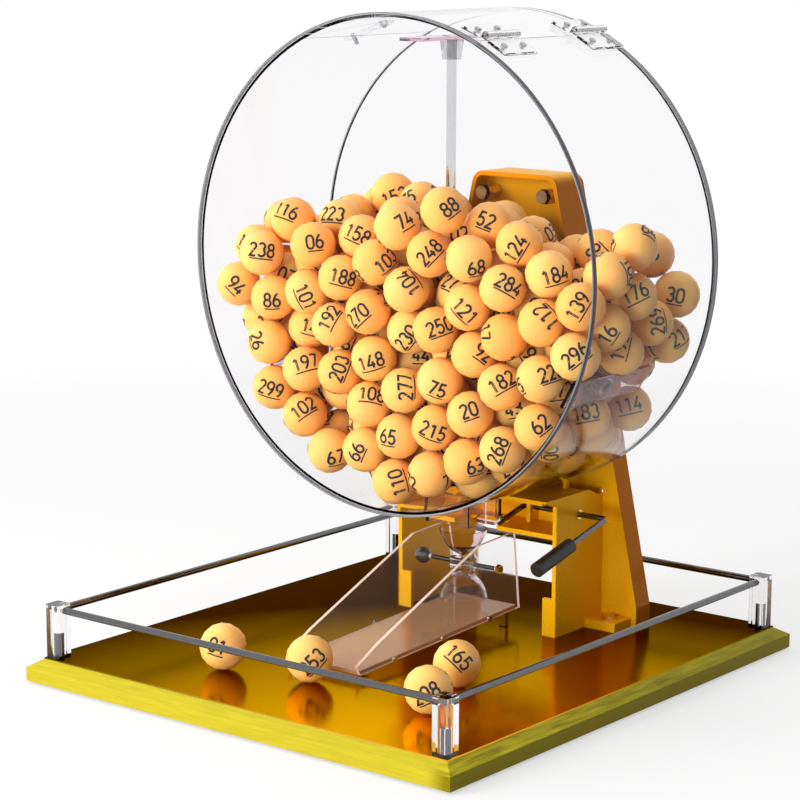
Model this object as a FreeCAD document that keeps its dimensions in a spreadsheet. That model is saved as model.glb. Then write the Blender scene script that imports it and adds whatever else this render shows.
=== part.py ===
import FreeCAD, Part

import math
import os
import random
import re

import Sketcher
from FreeCAD import Placement, Rotation, Vector

# A hand raffle machine. A clear drum full of numbered table tennis balls stands on a cast stand.
# A stirrer with three blades turns inside it, cranked from the back. Balls leave through a spout
# under the drum, pass a tongue on a hand lever, a turning cup and a sloping chute, and stop on a
# railed tray. Frame: +Z up, the front faces -Y, the origin is under the middle of the tray.

# ---------------------------------------------------------------- driving sizes (mm, degrees)

SIZES = {
    # tray
    "foot_height": 2, "foot_radius": 14, "foot_inset": 40,
    "board_width": 456, "board_depth": 502, "board_thick": 18.8,
    "bevel_width": 11, "bevel_drop": 6.8, "panel_thick": 1.2,
    "post_side": 16, "post_height": 47, "post_inset": 9, "post_round": 2.5,
    "stud_radius": 2.5, "stud_rise": 22, "stud_sink": 12,
    "rail_radius": 3, "rail_rise": 42, "rail_seat": 4.5,
    # drum
    "drum_radius": 212, "drum_depth": 186, "drum_rise": 334, "drum_back_shift": 45,
    "disc_thick": 5, "shell_thick": 4, "door_half_angle": 25.6, "door_gap": 0.5,
    "outlet_radius": 21.5, "outlet_shift": 21,
    "drum_bolt_x": 33, "drum_bolt_rise": 47, "drum_bolt_radius": 3, "bolt_head_radius": 6,
    "nut_radius": 7.5, "nut_thick": 5, "bolt_tail": 1,
    # door hinges and latch
    "hinge_length": 44, "hinge_front_shift": 57, "hinge_rear_shift": 69,
    "leaf_width": 20, "leaf_thick": 2.5, "leaf_relief": 4.5, "knuckle_radius": 3.5,
    "knuckle_count": 5, "pin_radius": 1.5, "pin_rise": 4.7, "leaf_screw_radius": 1.6,
    "leaf_screw_head": 3, "leaf_screw_pitch": 26, "filler_width": 5,
    "strap_angle": 110.5, "strap_length": 50, "strap_width": 13, "strap_thick": 3,
    "strap_tail": 7, "strap_lift": 0.8, "strap_slot": 15, "strap_slot_width": 6.4,
    "keeper_radius": 2, "keeper_rise": 8.5, "strap_screw_radius": 2.2, "strap_screw_head": 4.2,
    # stand
    "stand_height": 400, "stand_foot_width": 251, "stand_top_width": 88, "stand_wall": 4,
    "plinth_height": 18,
    "stand_round": 12, "rim_depth": 18, "rear_depth": 22, "head_rise": 142,
    "web_spacing": 172, "web_front_reach": 72, "web_rear_reach": 44, "shoulder_rise": 125,
    "shoulder_dip": 7, "dip_gap": 6, "dip_length": 16, "flange_rise": 88, "apron_gap": 26,
    "rib_x": 37, "rib_reach": 13, "deck_inner": 38, "deck_nose": 16, "nose_thick": 1.5,
    "prop_x": 67, "prop_height": 12,
    "pad_reach": 26, "pad_width": 32, "pad_height": 8, "foot_bolt_radius": 3,
    "foot_bolt_head": 6, "foot_bolt_sink": 12, "tab_width": 10, "tab_height": 34, "tab_thick": 4,
    "boss_radius": 20,
    # outlet spout, lever
    "spout_side": 48, "spout_wall": 2.5, "spout_drop": 25, "slot_height": 24,
    "rod_radius": 2.5, "rod_back": 73.6, "rod_rise": 105.4, "rod_slope": 13.75, "rod_right": 116.5,
    "rod_left": 29, "rod_bend": 4, "arm_right": 106, "arm_left": 40, "grip_radius": 6.5,
    "grip_length": 53, "grip_cap": 2, "grip_bevel": 1, "bush_radius": 4.5, "bush_overhang": 1,
    "tongue_thick": 3, "tongue_reach": 50, "tongue_width": 14, "tongue_tip": 8, "tongue_play": 0.9,
    "tongue_screw_radius": 1.2, "tongue_screw_head": 2.4,
    # chute
    "chute_width": 76, "chute_plate": 3, "chute_front": -124, "chute_rear": 100,
    "chute_gap": 5, "chute_slope": 2.8, "chute_nose": 5, "chute_nose_rise": 8,
    "chute_brow_y": -101, "chute_brow_rise": 27, "chute_knee_y": 40, "chute_knee_rise": 84,
    "chute_top_y": 92, "chute_top_rise": 87, "chute_foot_radius": 4, "chute_foot_inset": 14,
    "chute_screw_radius": 1.2, "chute_screw_head": 2.4, "chute_screw_length": 9,
    "chute_screw_inset": 45,
    # turning cup
    "cup_rise": 58, "cup_half": 31, "cup_rim": 21.5, "cup_waist": 9.4, "cup_collar": 12,
    "cup_collar_half": 5, "cup_throat": 1.5, "cup_neck_flare": 1.2, "cup_neck_drop": 19.2,
    "cup_neck_wall": 2.1, "cup_belly": 5.2, "cup_belly_drop": 13, "cup_lip": 1.5,
    "cup_lip_drop": 5.6, "cup_wall": 1.4, "cup_floor": 7.5, "cup_play": 1.5, "spindle_radius": 2,
    "knob_radius": 7.5, "spindle_nut_radius": 4.5, "spindle_nut_thick": 3,
    # stirrer and crank
    "shaft_radius": 6, "shaft_front": 33, "hub_radius": 18, "hub_length": 24, "arm_radius": 4.3,
    "arm_seat": 7, "blade_radius": 187, "blade_width": 26, "blade_thick": 3, "blade_length": 110,
    "collar_length": 17, "collar_wide": 10.5, "collar_narrow": 8,
    "bush_wall": 5, "bush_flange": 3, "bush_flange_wall": 5,
    "crank_reach": 80, "crank_width": 16, "crank_thick": 6, "crank_gap": 6,
    "crank_pin_radius": 4, "crank_grip_radius": 11, "crank_grip_length": 52, "crank_cap": 3,
    "crank_cap_lip": 2,
    # balls
    "ball_radius": 20, "ball_wall": 0.4, "fill_rise": 44, "pack_share": 0.5,
    # clearances
    "seat_gap": 0.05, "run_gap": 0.05, "flat_gap": 0.3,
    # how far a cutting tool, or a piece that joins another, runs past a face
    "overrun": 1,
}
# Places closer than this count as one; a smaller change of volume counts as none.
NEAR = 0.01
TINY = 1e-6
# Where the drawn balls lie: their places on X, and how far they are in front of the chute.
DRAWN_BALLS = ((-74, 46), (6, 28), (109, -38), (135, 34))
# The pile of balls: how it is scattered, how long it settles and how a step moves it.
PILE_SEED = 11
SETTLE_STEPS = 900
FREE_STEPS = 1500
SORT_EVERY = 8
NEIGHBOURHOOD = 1.35
FALL_STEP = 0.8
LAST_FALL = 0.01
NUDGE = 0.01
INWARD = 0.03

doc = FreeCAD.newDocument("RaffleDrum")
sheet = doc.addObject("Spreadsheet::Sheet", "Sizes")
for row, (size_name, number) in enumerate(SIZES.items(), 1):
    sheet.set(f"A{row}", size_name)
    sheet.set(f"B{row}", str(number))
    sheet.setAlias(f"B{row}", size_name)
doc.recompute()
SIZE_WORD = re.compile(r"\b(" + "|".join(SIZES) + r")\b")
nodes = []


def bound(formula):
    """The formula of size names as an expression of the sheet's cells."""
    return SIZE_WORD.sub(r"Sizes.\1", str(formula))


def value(formula):
    """The formula's number, read from the sheet."""
    return float(sheet.evalExpression(str(formula)))


# ---------------------------------------------------------------- derived places

TABLE = "(foot_height + board_thick + panel_thick)"
PANEL_BASE = "(foot_height + board_thick)"
INNER_X = "(board_width / 2 - bevel_width)"
INNER_Y = "(board_depth / 2 - bevel_width)"
POST_X = f"({INNER_X} - post_inset)"
POST_Y = f"({INNER_Y} - post_inset)"
RAIL_Z = f"({TABLE} + rail_rise)"
DRUM_Z = f"({TABLE} + drum_rise)"
DRUM_FRONT = "(drum_back_shift - drum_depth / 2)"
DRUM_BACK = "(drum_back_shift + drum_depth / 2)"
SHELL_FRONT = f"({DRUM_FRONT} + disc_thick)"
SHELL_BACK = f"({DRUM_BACK} - disc_thick)"
INNER_RADIUS = "(drum_radius - shell_thick)"
SEAM_ANGLE = "(90 - door_half_angle)"
WALL_FRONT = f"({DRUM_BACK} + rim_depth)"
WALL_BACK = f"({WALL_FRONT} + stand_wall)"
STAND_REAR = f"({WALL_FRONT} + rear_depth)"
PLINTH_TOP = f"({TABLE} + plinth_height)"
STAND_TAPER = "((stand_foot_width - stand_top_width) / 2 / (stand_height - plinth_height))"
HEAD_FLOOR = f"({TABLE} + head_rise)"
STAND_TOP = f"({TABLE} + stand_height)"
WEB_FRONT = f"({WALL_FRONT} - web_front_reach)"
WEB_REAR = f"({WALL_FRONT} + web_rear_reach)"
WEB_INNER = "(web_spacing / 2 - stand_wall / 2)"
WEB_OUTER = "(web_spacing / 2 + stand_wall / 2)"
SHOULDER = f"({TABLE} + shoulder_rise)"
DECK_BASE = f"({SHOULDER} - stand_wall)"
NOSE_FRONT = f"({WEB_FRONT} - deck_nose)"
SHOULDER_LOW = f"({SHOULDER} - shoulder_dip)"
FLANGE = f"({TABLE} + flange_rise)"
APRON_BACK = f"({WALL_FRONT} - apron_gap)"
OUTLET_Y = "(drum_back_shift + outlet_shift)"
SPOUT_BASE = f"({DRUM_Z} - drum_radius - spout_drop)"
ROD_Y = "(drum_back_shift + rod_back)"
ROD_Z = f"({TABLE} + rod_rise)"
CUP_Z = f"({TABLE} + cup_rise)"
CUP_SWEEP = "(sqrt(cup_half ^ 2 + cup_rim ^ 2) + cup_play)"


def stand_half(level):
    """Half the stand's width at a level above its upright plinth."""
    return f"(stand_foot_width / 2 - ({level} - {PLINTH_TOP}) * {STAND_TAPER})"


def drum_angle(length):
    """The angle in degrees that a length along the drum's wall takes."""
    return f"(({length}) / drum_radius * 180 / pi)"


def chute_base(depth):
    """The chute's underside at a depth."""
    return f"({TABLE} + chute_gap + ({depth} - chute_front) * tan(chute_slope))"


# ---------------------------------------------------------------- building helpers

def bind(thing, **formulas):
    """Tie properties of an object to formulas."""
    for name, formula in formulas.items():
        thing.setExpression(name, bound(formula))
    return thing


def place(thing, x="0", y="0", z="0", turn=None):
    """Turn an object, then move its origin to a place given by formulas."""
    if turn is not None:
        thing.Placement = Placement(Vector(), turn)
    for axis, formula in (("x", x), ("y", y), ("z", z)):
        thing.setExpression(f"Placement.Base.{axis}", bound(formula))
    return thing


def keep(thing, label):
    """Make an object a sub-part under its label."""
    thing.Label = label
    nodes.append(thing)
    return thing


def block(name, across, depth, height):
    """A box between a low and a high place on each axis."""
    solid = doc.addObject("Part::Box", name)
    bind(solid, Length=f"({across[1]}) - ({across[0]})", Width=f"({depth[1]}) - ({depth[0]})",
         Height=f"({height[1]}) - ({height[0]})")
    return place(solid, across[0], depth[0], height[0])


LYING = {"X": Rotation(Vector(0, 1, 0), 90), "Y": Rotation(Vector(1, 0, 0), -90), "Z": Rotation()}


def bar(name, radius, along, span, at):
    """A cylinder along an axis, from a low to a high place; at holds the other two places."""
    solid = doc.addObject("Part::Cylinder", name)
    bind(solid, Radius=radius, Height=f"({span[1]}) - ({span[0]})")
    spots = {"X": (span[0], at[0], at[1]), "Y": (at[0], span[0], at[1]), "Z": (at[0], at[1], span[0])}
    return place(solid, *spots[along], LYING[along])


def cone(name, radii, along, span, at):
    """A truncated cone along an axis; radii are those at the low and the high end."""
    solid = doc.addObject("Part::Cone", name)
    bind(solid, Radius1=radii[0], Radius2=radii[1], Height=f"({span[1]}) - ({span[0]})")
    spots = {"X": (span[0], at[0], at[1]), "Y": (at[0], span[0], at[1]), "Z": (at[0], at[1], span[0])}
    return place(solid, *spots[along], LYING[along])


def nut(name, radius, thick, y, x, z):
    """A hexagon nut that lies along Y, from y backwards."""
    solid = doc.addObject("Part::Prism", name)
    solid.Polygon = 6
    bind(solid, Circumradius=radius, Height=thick)
    return place(solid, x, y, z, LYING["Y"])


def joined(name, parts):
    """One solid from touching or overlapping parts."""
    solid = doc.addObject("Part::MultiFuse", name)
    solid.Shapes = parts
    solid.Refine = True
    return solid


def less(name, base, tools):
    """The base without the tools."""
    solid = doc.addObject("Part::Cut", name)
    solid.Base = base
    solid.Tool = tools[0] if len(tools) == 1 else group(f"{name}_tools", tools)
    solid.Refine = True
    return solid


def group(name, parts):
    """Several separate solids as one object."""
    solid = doc.addObject("Part::Compound", name)
    solid.Links = parts
    return solid


def body(name):
    return doc.addObject("PartDesign::Body", name)


def sketch(owner, role, outlines, height):
    """A sketch on a body's origin plane, moved along its normal. An outline is a list of
    (x, y) formulas, or a (x, y, radius) circle."""
    plane = next(item for item in owner.Origin.OriginFeatures if item.Role == role)
    drawing = owner.newObject("Sketcher::SketchObject", f"{owner.Name}_sketch")
    drawing.AttachmentSupport = [(plane, "")]
    drawing.MapMode = "FlatFace"
    drawing.setExpression("AttachmentOffset.Base.z", bound(height))
    for outline in outlines:
        if isinstance(outline, tuple):
            draw_circle(drawing, outline)
        else:
            draw_polygon(drawing, outline)
    return drawing


def constrain(drawing, constraint, formula):
    number = drawing.addConstraint(constraint)
    drawing.setExpression(f"Constraints[{number}]", bound(formula))


def draw_circle(drawing, outline):
    x, y, radius = (value(formula) for formula in outline)
    edge = drawing.addGeometry(Part.Circle(Vector(x, y, 0), Vector(0, 0, 1), radius))
    constrain(drawing, Sketcher.Constraint("DistanceX", -1, 1, edge, 3, x), outline[0])
    constrain(drawing, Sketcher.Constraint("DistanceY", -1, 1, edge, 3, y), outline[1])
    constrain(drawing, Sketcher.Constraint("Radius", edge, radius), outline[2])


def draw_polygon(drawing, outline):
    corners = [Vector(value(x), value(y), 0) for x, y in outline]
    edges = [drawing.addGeometry(Part.LineSegment(corner, corners[(index + 1) % len(corners)]))
             for index, corner in enumerate(corners)]
    for index, edge in enumerate(edges):
        follower = edges[(index + 1) % len(edges)]
        drawing.addConstraint(Sketcher.Constraint("Coincident", edge, 2, follower, 1))
    for edge, corner, (x, y) in zip(edges, corners, outline):
        constrain(drawing, Sketcher.Constraint("DistanceX", -1, 1, edge, 1, corner.x), x)
        constrain(drawing, Sketcher.Constraint("DistanceY", -1, 1, edge, 1, corner.y), y)


def plate(owner, role, outlines, span):
    """Pad outlines along the plane's axis, from a low to a high place. Sketches on the XZ plane
    face -Y."""
    height = f"-({span[1]})" if role == "XZ_Plane" else span[0]
    pad = owner.newObject("PartDesign::Pad", f"{owner.Name}_pad")
    pad.Profile = sketch(owner, role, outlines, height)
    return bind(pad, Length=f"({span[1]}) - ({span[0]})")


def pocket(owner, role, outlines, span):
    """Cut outlines out of a body, from a low to a high place along the plane's axis."""
    height = f"-({span[0]})" if role == "XZ_Plane" else span[1]
    hollow = owner.newObject("PartDesign::Pocket", f"{owner.Name}_pocket")
    hollow.Profile = sketch(owner, role, outlines, height)
    return bind(hollow, Length=f"({span[1]}) - ({span[0]})")


def turned(owner, outline):
    """Turn an outline of (radius, height) formulas about the body's Z axis."""
    revolution = owner.newObject("PartDesign::Revolution", f"{owner.Name}_turned")
    revolution.Profile = sketch(owner, "XZ_Plane", [outline], "0")
    revolution.ReferenceAxis = (revolution.Profile[0], ["V_Axis"])
    revolution.Angle = 360
    return revolution


def rounded(owner, radius, wanted):
    """Fillet the straight edges of a body's last feature that a test picks."""
    doc.recompute()
    last = owner.Tip
    names = [f"Edge{number}" for number, edge in enumerate(last.Shape.Edges, 1)
             if len(edge.Vertexes) == 2 and wanted(edge.Vertexes[0].Point, edge.Vertexes[1].Point)]
    fillet = owner.newObject("PartDesign::Fillet", f"{owner.Name}_round")
    fillet.Base = (last, names)
    return bind(fillet, Radius=radius)


def rectangle(x, y):
    """A rectangle outline from low and high places on two axes."""
    return [(x[0], y[0]), (x[1], y[0]), (x[1], y[1]), (x[0], y[1])]


def mirrored(outline):
    return [(f"-({x})", y) for x, y in reversed(outline)]


SIDES = (("left", "-1"), ("right", "1"))

# ---------------------------------------------------------------- tray

FOOT_SPOTS = [(f"{a} * (board_width / 2 - foot_inset)", f"{b} * (board_depth / 2 - foot_inset)")
              for a in (-1, 1) for b in (-1, 1)]
POST_SPOTS = [(f"{a} * {POST_X}", f"{b} * {POST_Y}") for a, b in ((-1, -1), (1, -1), (1, 1), (-1, 1))]
PAD_Y = f"({WALL_FRONT} - pad_reach / 2)"
PAD_X = f"({WEB_OUTER} + pad_width / 2)"
FOOT_BOLT_SPOTS = [(f"{side} * {PAD_X}", PAD_Y) for _, side in SIDES]


def stud_holes(name, low):
    """Clearance holes for the post studs and the stand's bolts."""
    holes = [bar(f"{name}_stud_hole", "stud_radius + seat_gap", "Z", (low, TABLE), spot)
             for spot in POST_SPOTS]
    holes += [bar(f"{name}_bolt_hole", "foot_bolt_radius + seat_gap", "Z",
                  (f"{TABLE} - foot_bolt_sink", TABLE), spot) for spot in FOOT_BOLT_SPOTS]
    return holes


def build_tray():
    """Feet, a beveled board, its glossy top panel, four corner posts on studs, four rails."""
    feet = [bar("foot", "foot_radius", "Z", ("0", "foot_height"), spot) for spot in FOOT_SPOTS]
    keep(group("feet", feet), "base_feet")
    half = ("board_width / 2", "board_depth / 2")
    side = block("board_side", (f"-{half[0]}", half[0]), (f"-{half[1]}", half[1]),
                 ("foot_height", f"{PANEL_BASE} - bevel_drop"))
    bevel = doc.addObject("Part::Wedge", "board_bevel")
    bind(bevel, Xmin=f"-{half[0]}", Xmax=half[0], Zmin=f"-{half[1]}", Zmax=half[1],
         X2min=f"-{INNER_X}", X2max=INNER_X, Z2min=f"-{INNER_Y}", Z2max=INNER_Y,
         Ymin="0", Ymax="bevel_drop")
    place(bevel, z=f"{PANEL_BASE} - bevel_drop", turn=LYING["Y"].inverted())
    board = joined("board_solid", [side, bevel])
    keep(less("board", board, stud_holes("board", f"{TABLE} - stud_sink")), "base_board")
    panel = block("panel_sheet", (f"-{INNER_X}", INNER_X), (f"-{INNER_Y}", INNER_Y),
                  (PANEL_BASE, TABLE))
    keep(less("panel", panel, stud_holes("panel", PANEL_BASE)), "top_panel")
    studs = [bar("stud", "stud_radius", "Z", (f"{TABLE} - stud_sink", f"{TABLE} + stud_rise"), spot)
             for spot in POST_SPOTS]
    keep(group("studs", studs), "post_studs")
    names = ("front_left", "front_right", "rear_right", "rear_left")
    for quarter, (corner, spot) in enumerate(zip(names, POST_SPOTS)):
        build_post(corner, spot, Rotation(Vector(0, 0, 1), 90 * quarter))
    build_rails()


def build_post(corner, spot, turn):
    """A rounded square post with a stud hole and a blind hole for a rail on two sides."""
    post = body(f"post_{corner}")
    half = "post_side / 2"
    plate(post, "XY_Plane", [rectangle((f"-{half}", half), (f"-{half}", half))],
          ("0", "post_height"))
    rounded(post, "post_round", lambda a, b: abs(a.x - b.x) + abs(a.y - b.y) < NEAR)
    pocket(post, "XY_Plane", [("0", "0", "stud_radius + seat_gap")],
           ("0", "stud_rise + seat_gap"))
    hole = [("0", "rail_rise", "rail_radius + seat_gap")]
    span = (f"{half} - rail_seat", half)
    pocket(post, "YZ_Plane", hole, span)
    pocket(post, "XZ_Plane", hole, span)
    keep(place(post, *spot, TABLE, turn), f"post_{corner}")


def build_rails():
    reach_x = f"({POST_X} - post_side / 2 + rail_seat - seat_gap)"
    reach_y = f"({POST_Y} - post_side / 2 + rail_seat - seat_gap)"
    for name, sign in (("front", "-1"), ("rear", "1")):
        rail = bar(f"rail_{name}", "rail_radius", "X", (f"-{reach_x}", reach_x),
                   (f"{sign} * {POST_Y}", RAIL_Z))
        keep(rail, f"rail_{name}")
    for name, sign in SIDES:
        rail = bar(f"rail_{name}", "rail_radius", "Y", (f"-{reach_y}", reach_y),
                   (f"{sign} * {POST_X}", RAIL_Z))
        keep(rail, f"rail_{name}")


# ---------------------------------------------------------------- stand

def build_stand():
    """The cast stand in four pieces that meet face to face, its bolts and front tabs."""
    for side, sign in SIDES:
        build_leg(side, sign)
    build_beam()
    build_head()
    bolts = []
    for spot in FOOT_BOLT_SPOTS:
        top = f"{TABLE} + pad_height"
        shank = bar("foot_bolt_shank", "foot_bolt_radius", "Z", (f"{TABLE} - foot_bolt_sink", top),
                    spot)
        head = bar("foot_bolt_head_disc", "foot_bolt_head", "Z", (top, f"{top} + foot_bolt_radius"),
                   spot)
        bolts.append(joined("foot_bolt", [shank, head]))
    keep(group("foot_bolts", bolts), "stand_bolts")
    tabs = [block("tab", ordered(sign, WEB_INNER, f"{WEB_INNER} - tab_width"),
                  (WEB_FRONT, f"{WEB_FRONT} + tab_thick"), (TABLE, f"{TABLE} + tab_height"))
            for _, sign in SIDES]
    keep(group("tabs", tabs), "stand_front_tabs")


def ordered(sign, near, far):
    """A low and a high place on X from two distances, on the side that the sign names."""
    spots = [f"{sign} * ({near})", f"{sign} * ({far})"]
    return tuple(sorted(spots, key=value))


def build_leg(side, sign):
    """A web that runs front to back, a front-facing wall, a slanting outer wall and a foot pad."""
    leg = body(f"leg_{side}_walls")
    web = body(f"web_{side}_plate")
    dip_front = f"({WALL_FRONT} - dip_gap - dip_length)"
    web_outline = [(WEB_FRONT, TABLE), (WEB_REAR, TABLE), (WEB_REAR, SHOULDER_LOW),
                   (f"{WALL_FRONT} - dip_gap", SHOULDER_LOW), (dip_front, SHOULDER),
                   (NOSE_FRONT, SHOULDER), (NOSE_FRONT, f"{SHOULDER} - nose_thick"),
                   (WEB_FRONT, SHOULDER_LOW)]
    plate(web, "YZ_Plane", [web_outline], ordered(sign, WEB_INNER, WEB_OUTER))
    foot_half = "stand_foot_width / 2"
    outer_edge = [(foot_half, TABLE), (foot_half, PLINTH_TOP), (stand_half(DECK_BASE), DECK_BASE)]
    wall_outline = [(WEB_OUTER, TABLE)] + outer_edge + [(WEB_OUTER, DECK_BASE)]
    skin_outline = outer_edge + [(f"{x} - stand_wall", z) for x, z in reversed(outer_edge)]
    if sign == "-1":
        wall_outline = mirrored(wall_outline)
        skin_outline = mirrored(skin_outline)
    plate(leg, "XZ_Plane", [wall_outline], (WALL_FRONT, WALL_BACK))
    plate(leg, "XZ_Plane", [skin_outline], (WALL_FRONT, STAND_REAR))
    pad = block(f"pad_{side}", ordered(sign, WEB_OUTER, f"{WEB_OUTER} + pad_width"),
                (f"{WALL_FRONT} - pad_reach", WALL_FRONT), (TABLE, f"{TABLE} + pad_height"))
    whole = joined(f"leg_{side}_whole", [leg, web, pad])
    spot = FOOT_BOLT_SPOTS[0 if sign == "-1" else 1]
    holes = [bar(f"pad_hole_{side}", "foot_bolt_radius + seat_gap", "Z",
                 (TABLE, f"{TABLE} + pad_height"), spot)]
    if side == "right":
        holes.append(bar("rod_hole", "bush_radius + seat_gap", "X", (WEB_INNER, WEB_OUTER),
                         (ROD_Y, ROD_Z)))
    keep(less(f"leg_{side}", whole, holes), f"stand_leg_{side}")


def build_beam():
    """The cross member: bottom flange, apron, rear wall, ribs, and on each side a deck with a
    nose in front and a short prop under the drum. The turning cup clears a notch in the flange."""
    flange_top = f"{FLANGE} + stand_wall"
    apron_front = f"{APRON_BACK} - stand_wall"
    inside = (f"-{WEB_INNER}", WEB_INNER)
    apron_top = f"({DRUM_Z} - drum_radius - flat_gap)"
    parts = [block("flange", inside, (WEB_FRONT, WALL_BACK), (FLANGE, flange_top)),
             block("apron", inside, (apron_front, APRON_BACK), (flange_top, apron_top)),
             block("beam_wall", inside, (WALL_FRONT, WALL_BACK), (flange_top, DECK_BASE))]
    for side, sign in SIDES:
        parts.append(block(f"deck_{side}", ordered(sign, "deck_inner", WEB_INNER),
                           (NOSE_FRONT, APRON_BACK), (DECK_BASE, SHOULDER)))
        drop_x = ordered(sign, "deck_inner", "deck_inner + stand_wall")
        parts.append(block(f"deck_drop_{side}", drop_x, (apron_front, WALL_FRONT),
                           (flange_top, DECK_BASE)))
        prop_x = ordered(sign, "prop_x - stand_wall / 2", "prop_x + stand_wall / 2")
        parts.append(block(f"prop_{side}", prop_x, (apron_front, APRON_BACK),
                           (SHOULDER, f"{SHOULDER} + prop_height")))
        rib_x = ordered(sign, "rib_x - stand_wall / 2", "rib_x + stand_wall / 2")
        parts.append(block(f"rib_{side}", rib_x, (f"{apron_front} - rib_reach", apron_front),
                           (flange_top, apron_top)))
    tools = [bar("rib_hole", "bush_radius + seat_gap", "X",
                 ("rib_x - stand_wall / 2", "rib_x + stand_wall / 2"), (ROD_Y, ROD_Z)),
             bar("drum_clearance", "drum_radius + flat_gap", "Y", (NOSE_FRONT, APRON_BACK),
                 ("0", DRUM_Z)),
             block("cup_notch", ("-cup_rim - cup_play", "cup_rim + cup_play"),
                   (WEB_FRONT, f"{OUTLET_Y} + {CUP_SWEEP}"), (FLANGE, flange_top))]
    keep(less("beam", joined("beam_whole", parts), tools), "stand_beam")


def build_head():
    """The tall tray-shaped head behind the drum: a tapering rim around a wall, open in front
    and behind, with bosses for the shaft bush and four holes for the drum bolts."""
    head = body("head_walls")
    outline = [(f"-{stand_half(DECK_BASE)}", DECK_BASE), (stand_half(DECK_BASE), DECK_BASE),
               ("stand_top_width / 2", STAND_TOP), ("-stand_top_width / 2", STAND_TOP)]
    plate(head, "XZ_Plane", [outline], (WALL_FRONT, STAND_REAR))
    rounded(head, "stand_round", lambda a, b: side_corner(a, b, STAND_TOP))
    hollow_top = f"({STAND_TOP} - stand_wall)"
    top_corners = [(f"{stand_half(hollow_top)} - stand_wall", hollow_top),
                   (f"-({stand_half(hollow_top)} - stand_wall)", hollow_top)]
    rear_hollow = [(f"-({stand_half(DECK_BASE)} - stand_wall)", DECK_BASE),
                   (f"{stand_half(DECK_BASE)} - stand_wall", DECK_BASE)] + top_corners
    pocket(head, "XZ_Plane", [rear_hollow], (WALL_BACK, STAND_REAR))
    rounded(head, "stand_round - stand_wall", lambda a, b: side_corner(a, b, hollow_top))
    rim = body("head_rim")
    edge = [(f"-{stand_half(HEAD_FLOOR)}", HEAD_FLOOR), (stand_half(HEAD_FLOOR), HEAD_FLOOR)]
    plate(rim, "XZ_Plane", [edge + outline[2:]], (DRUM_BACK, WALL_FRONT))
    hollow_floor = f"({HEAD_FLOOR} + stand_wall)"
    front_hollow = [(f"-({stand_half(hollow_floor)} - stand_wall)", hollow_floor),
                    (f"{stand_half(hollow_floor)} - stand_wall", hollow_floor)] + top_corners
    pocket(rim, "XZ_Plane", [front_hollow], (DRUM_BACK, WALL_FRONT))
    rounded(rim, "stand_round - stand_wall", lambda a, b: side_corner(a, b, hollow_top)
            or side_corner(a, b, hollow_floor))
    rounded(rim, "stand_round", lambda a, b: side_corner(a, b, STAND_TOP)
            or side_corner(a, b, HEAD_FLOOR))
    boss = bar("head_boss", "boss_radius", "Y", (f"{DRUM_BACK} + flat_gap", STAND_REAR),
               ("0", DRUM_Z))
    holes = [bar("bush_hole", "shaft_radius + run_gap + bush_wall + seat_gap", "Y",
                 (DRUM_BACK, STAND_REAR), ("0", DRUM_Z))]
    holes += [bar("head_bolt_hole", "drum_bolt_radius + seat_gap", "Y", (WALL_FRONT, WALL_BACK), spot)
              for spot in DRUM_BOLT_SPOTS]
    keep(less("head", joined("head_whole", [head, rim, boss]), holes), "stand_head")


def side_corner(a, b, level):
    """Whether an edge runs front to back at a level, off the middle."""
    flat = abs(a.z - value(level)) < NEAR and abs(b.z - value(level)) < NEAR
    return flat and abs(a.x - b.x) < NEAR and abs(a.x) > NEAR


# ---------------------------------------------------------------- drum

DRUM_BOLT_SPOTS = [(f"{a} * drum_bolt_x", f"{DRUM_Z} + {b} * drum_bolt_rise")
                   for a in (-1, 1) for b in (-1, 1)]


def tube_sector(name, start, sweep, ends):
    """A sector of the drum's shell. Angles run from +X up to +Z; ends are low and high places."""
    layers = []
    for layer, radius, margin in (("outer", "drum_radius", "0"), ("inner", INNER_RADIUS, "overrun")):
        solid = doc.addObject("Part::Cylinder", f"{name}_{layer}")
        angle = sweep if layer == "outer" else "360"
        bind(solid, Radius=radius, Height=f"({ends[1]}) - ({ends[0]}) + 2 * {margin}", Angle=angle)
        place(solid, z=f"-{margin}", turn=Rotation(Vector(0, 0, 1), value(start)))
        layers.append(solid)
    shell = less(name, layers[0], layers[1:])
    return place(shell, "0", ends[1], DRUM_Z, Rotation(Vector(1, 0, 0), 90))


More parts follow.
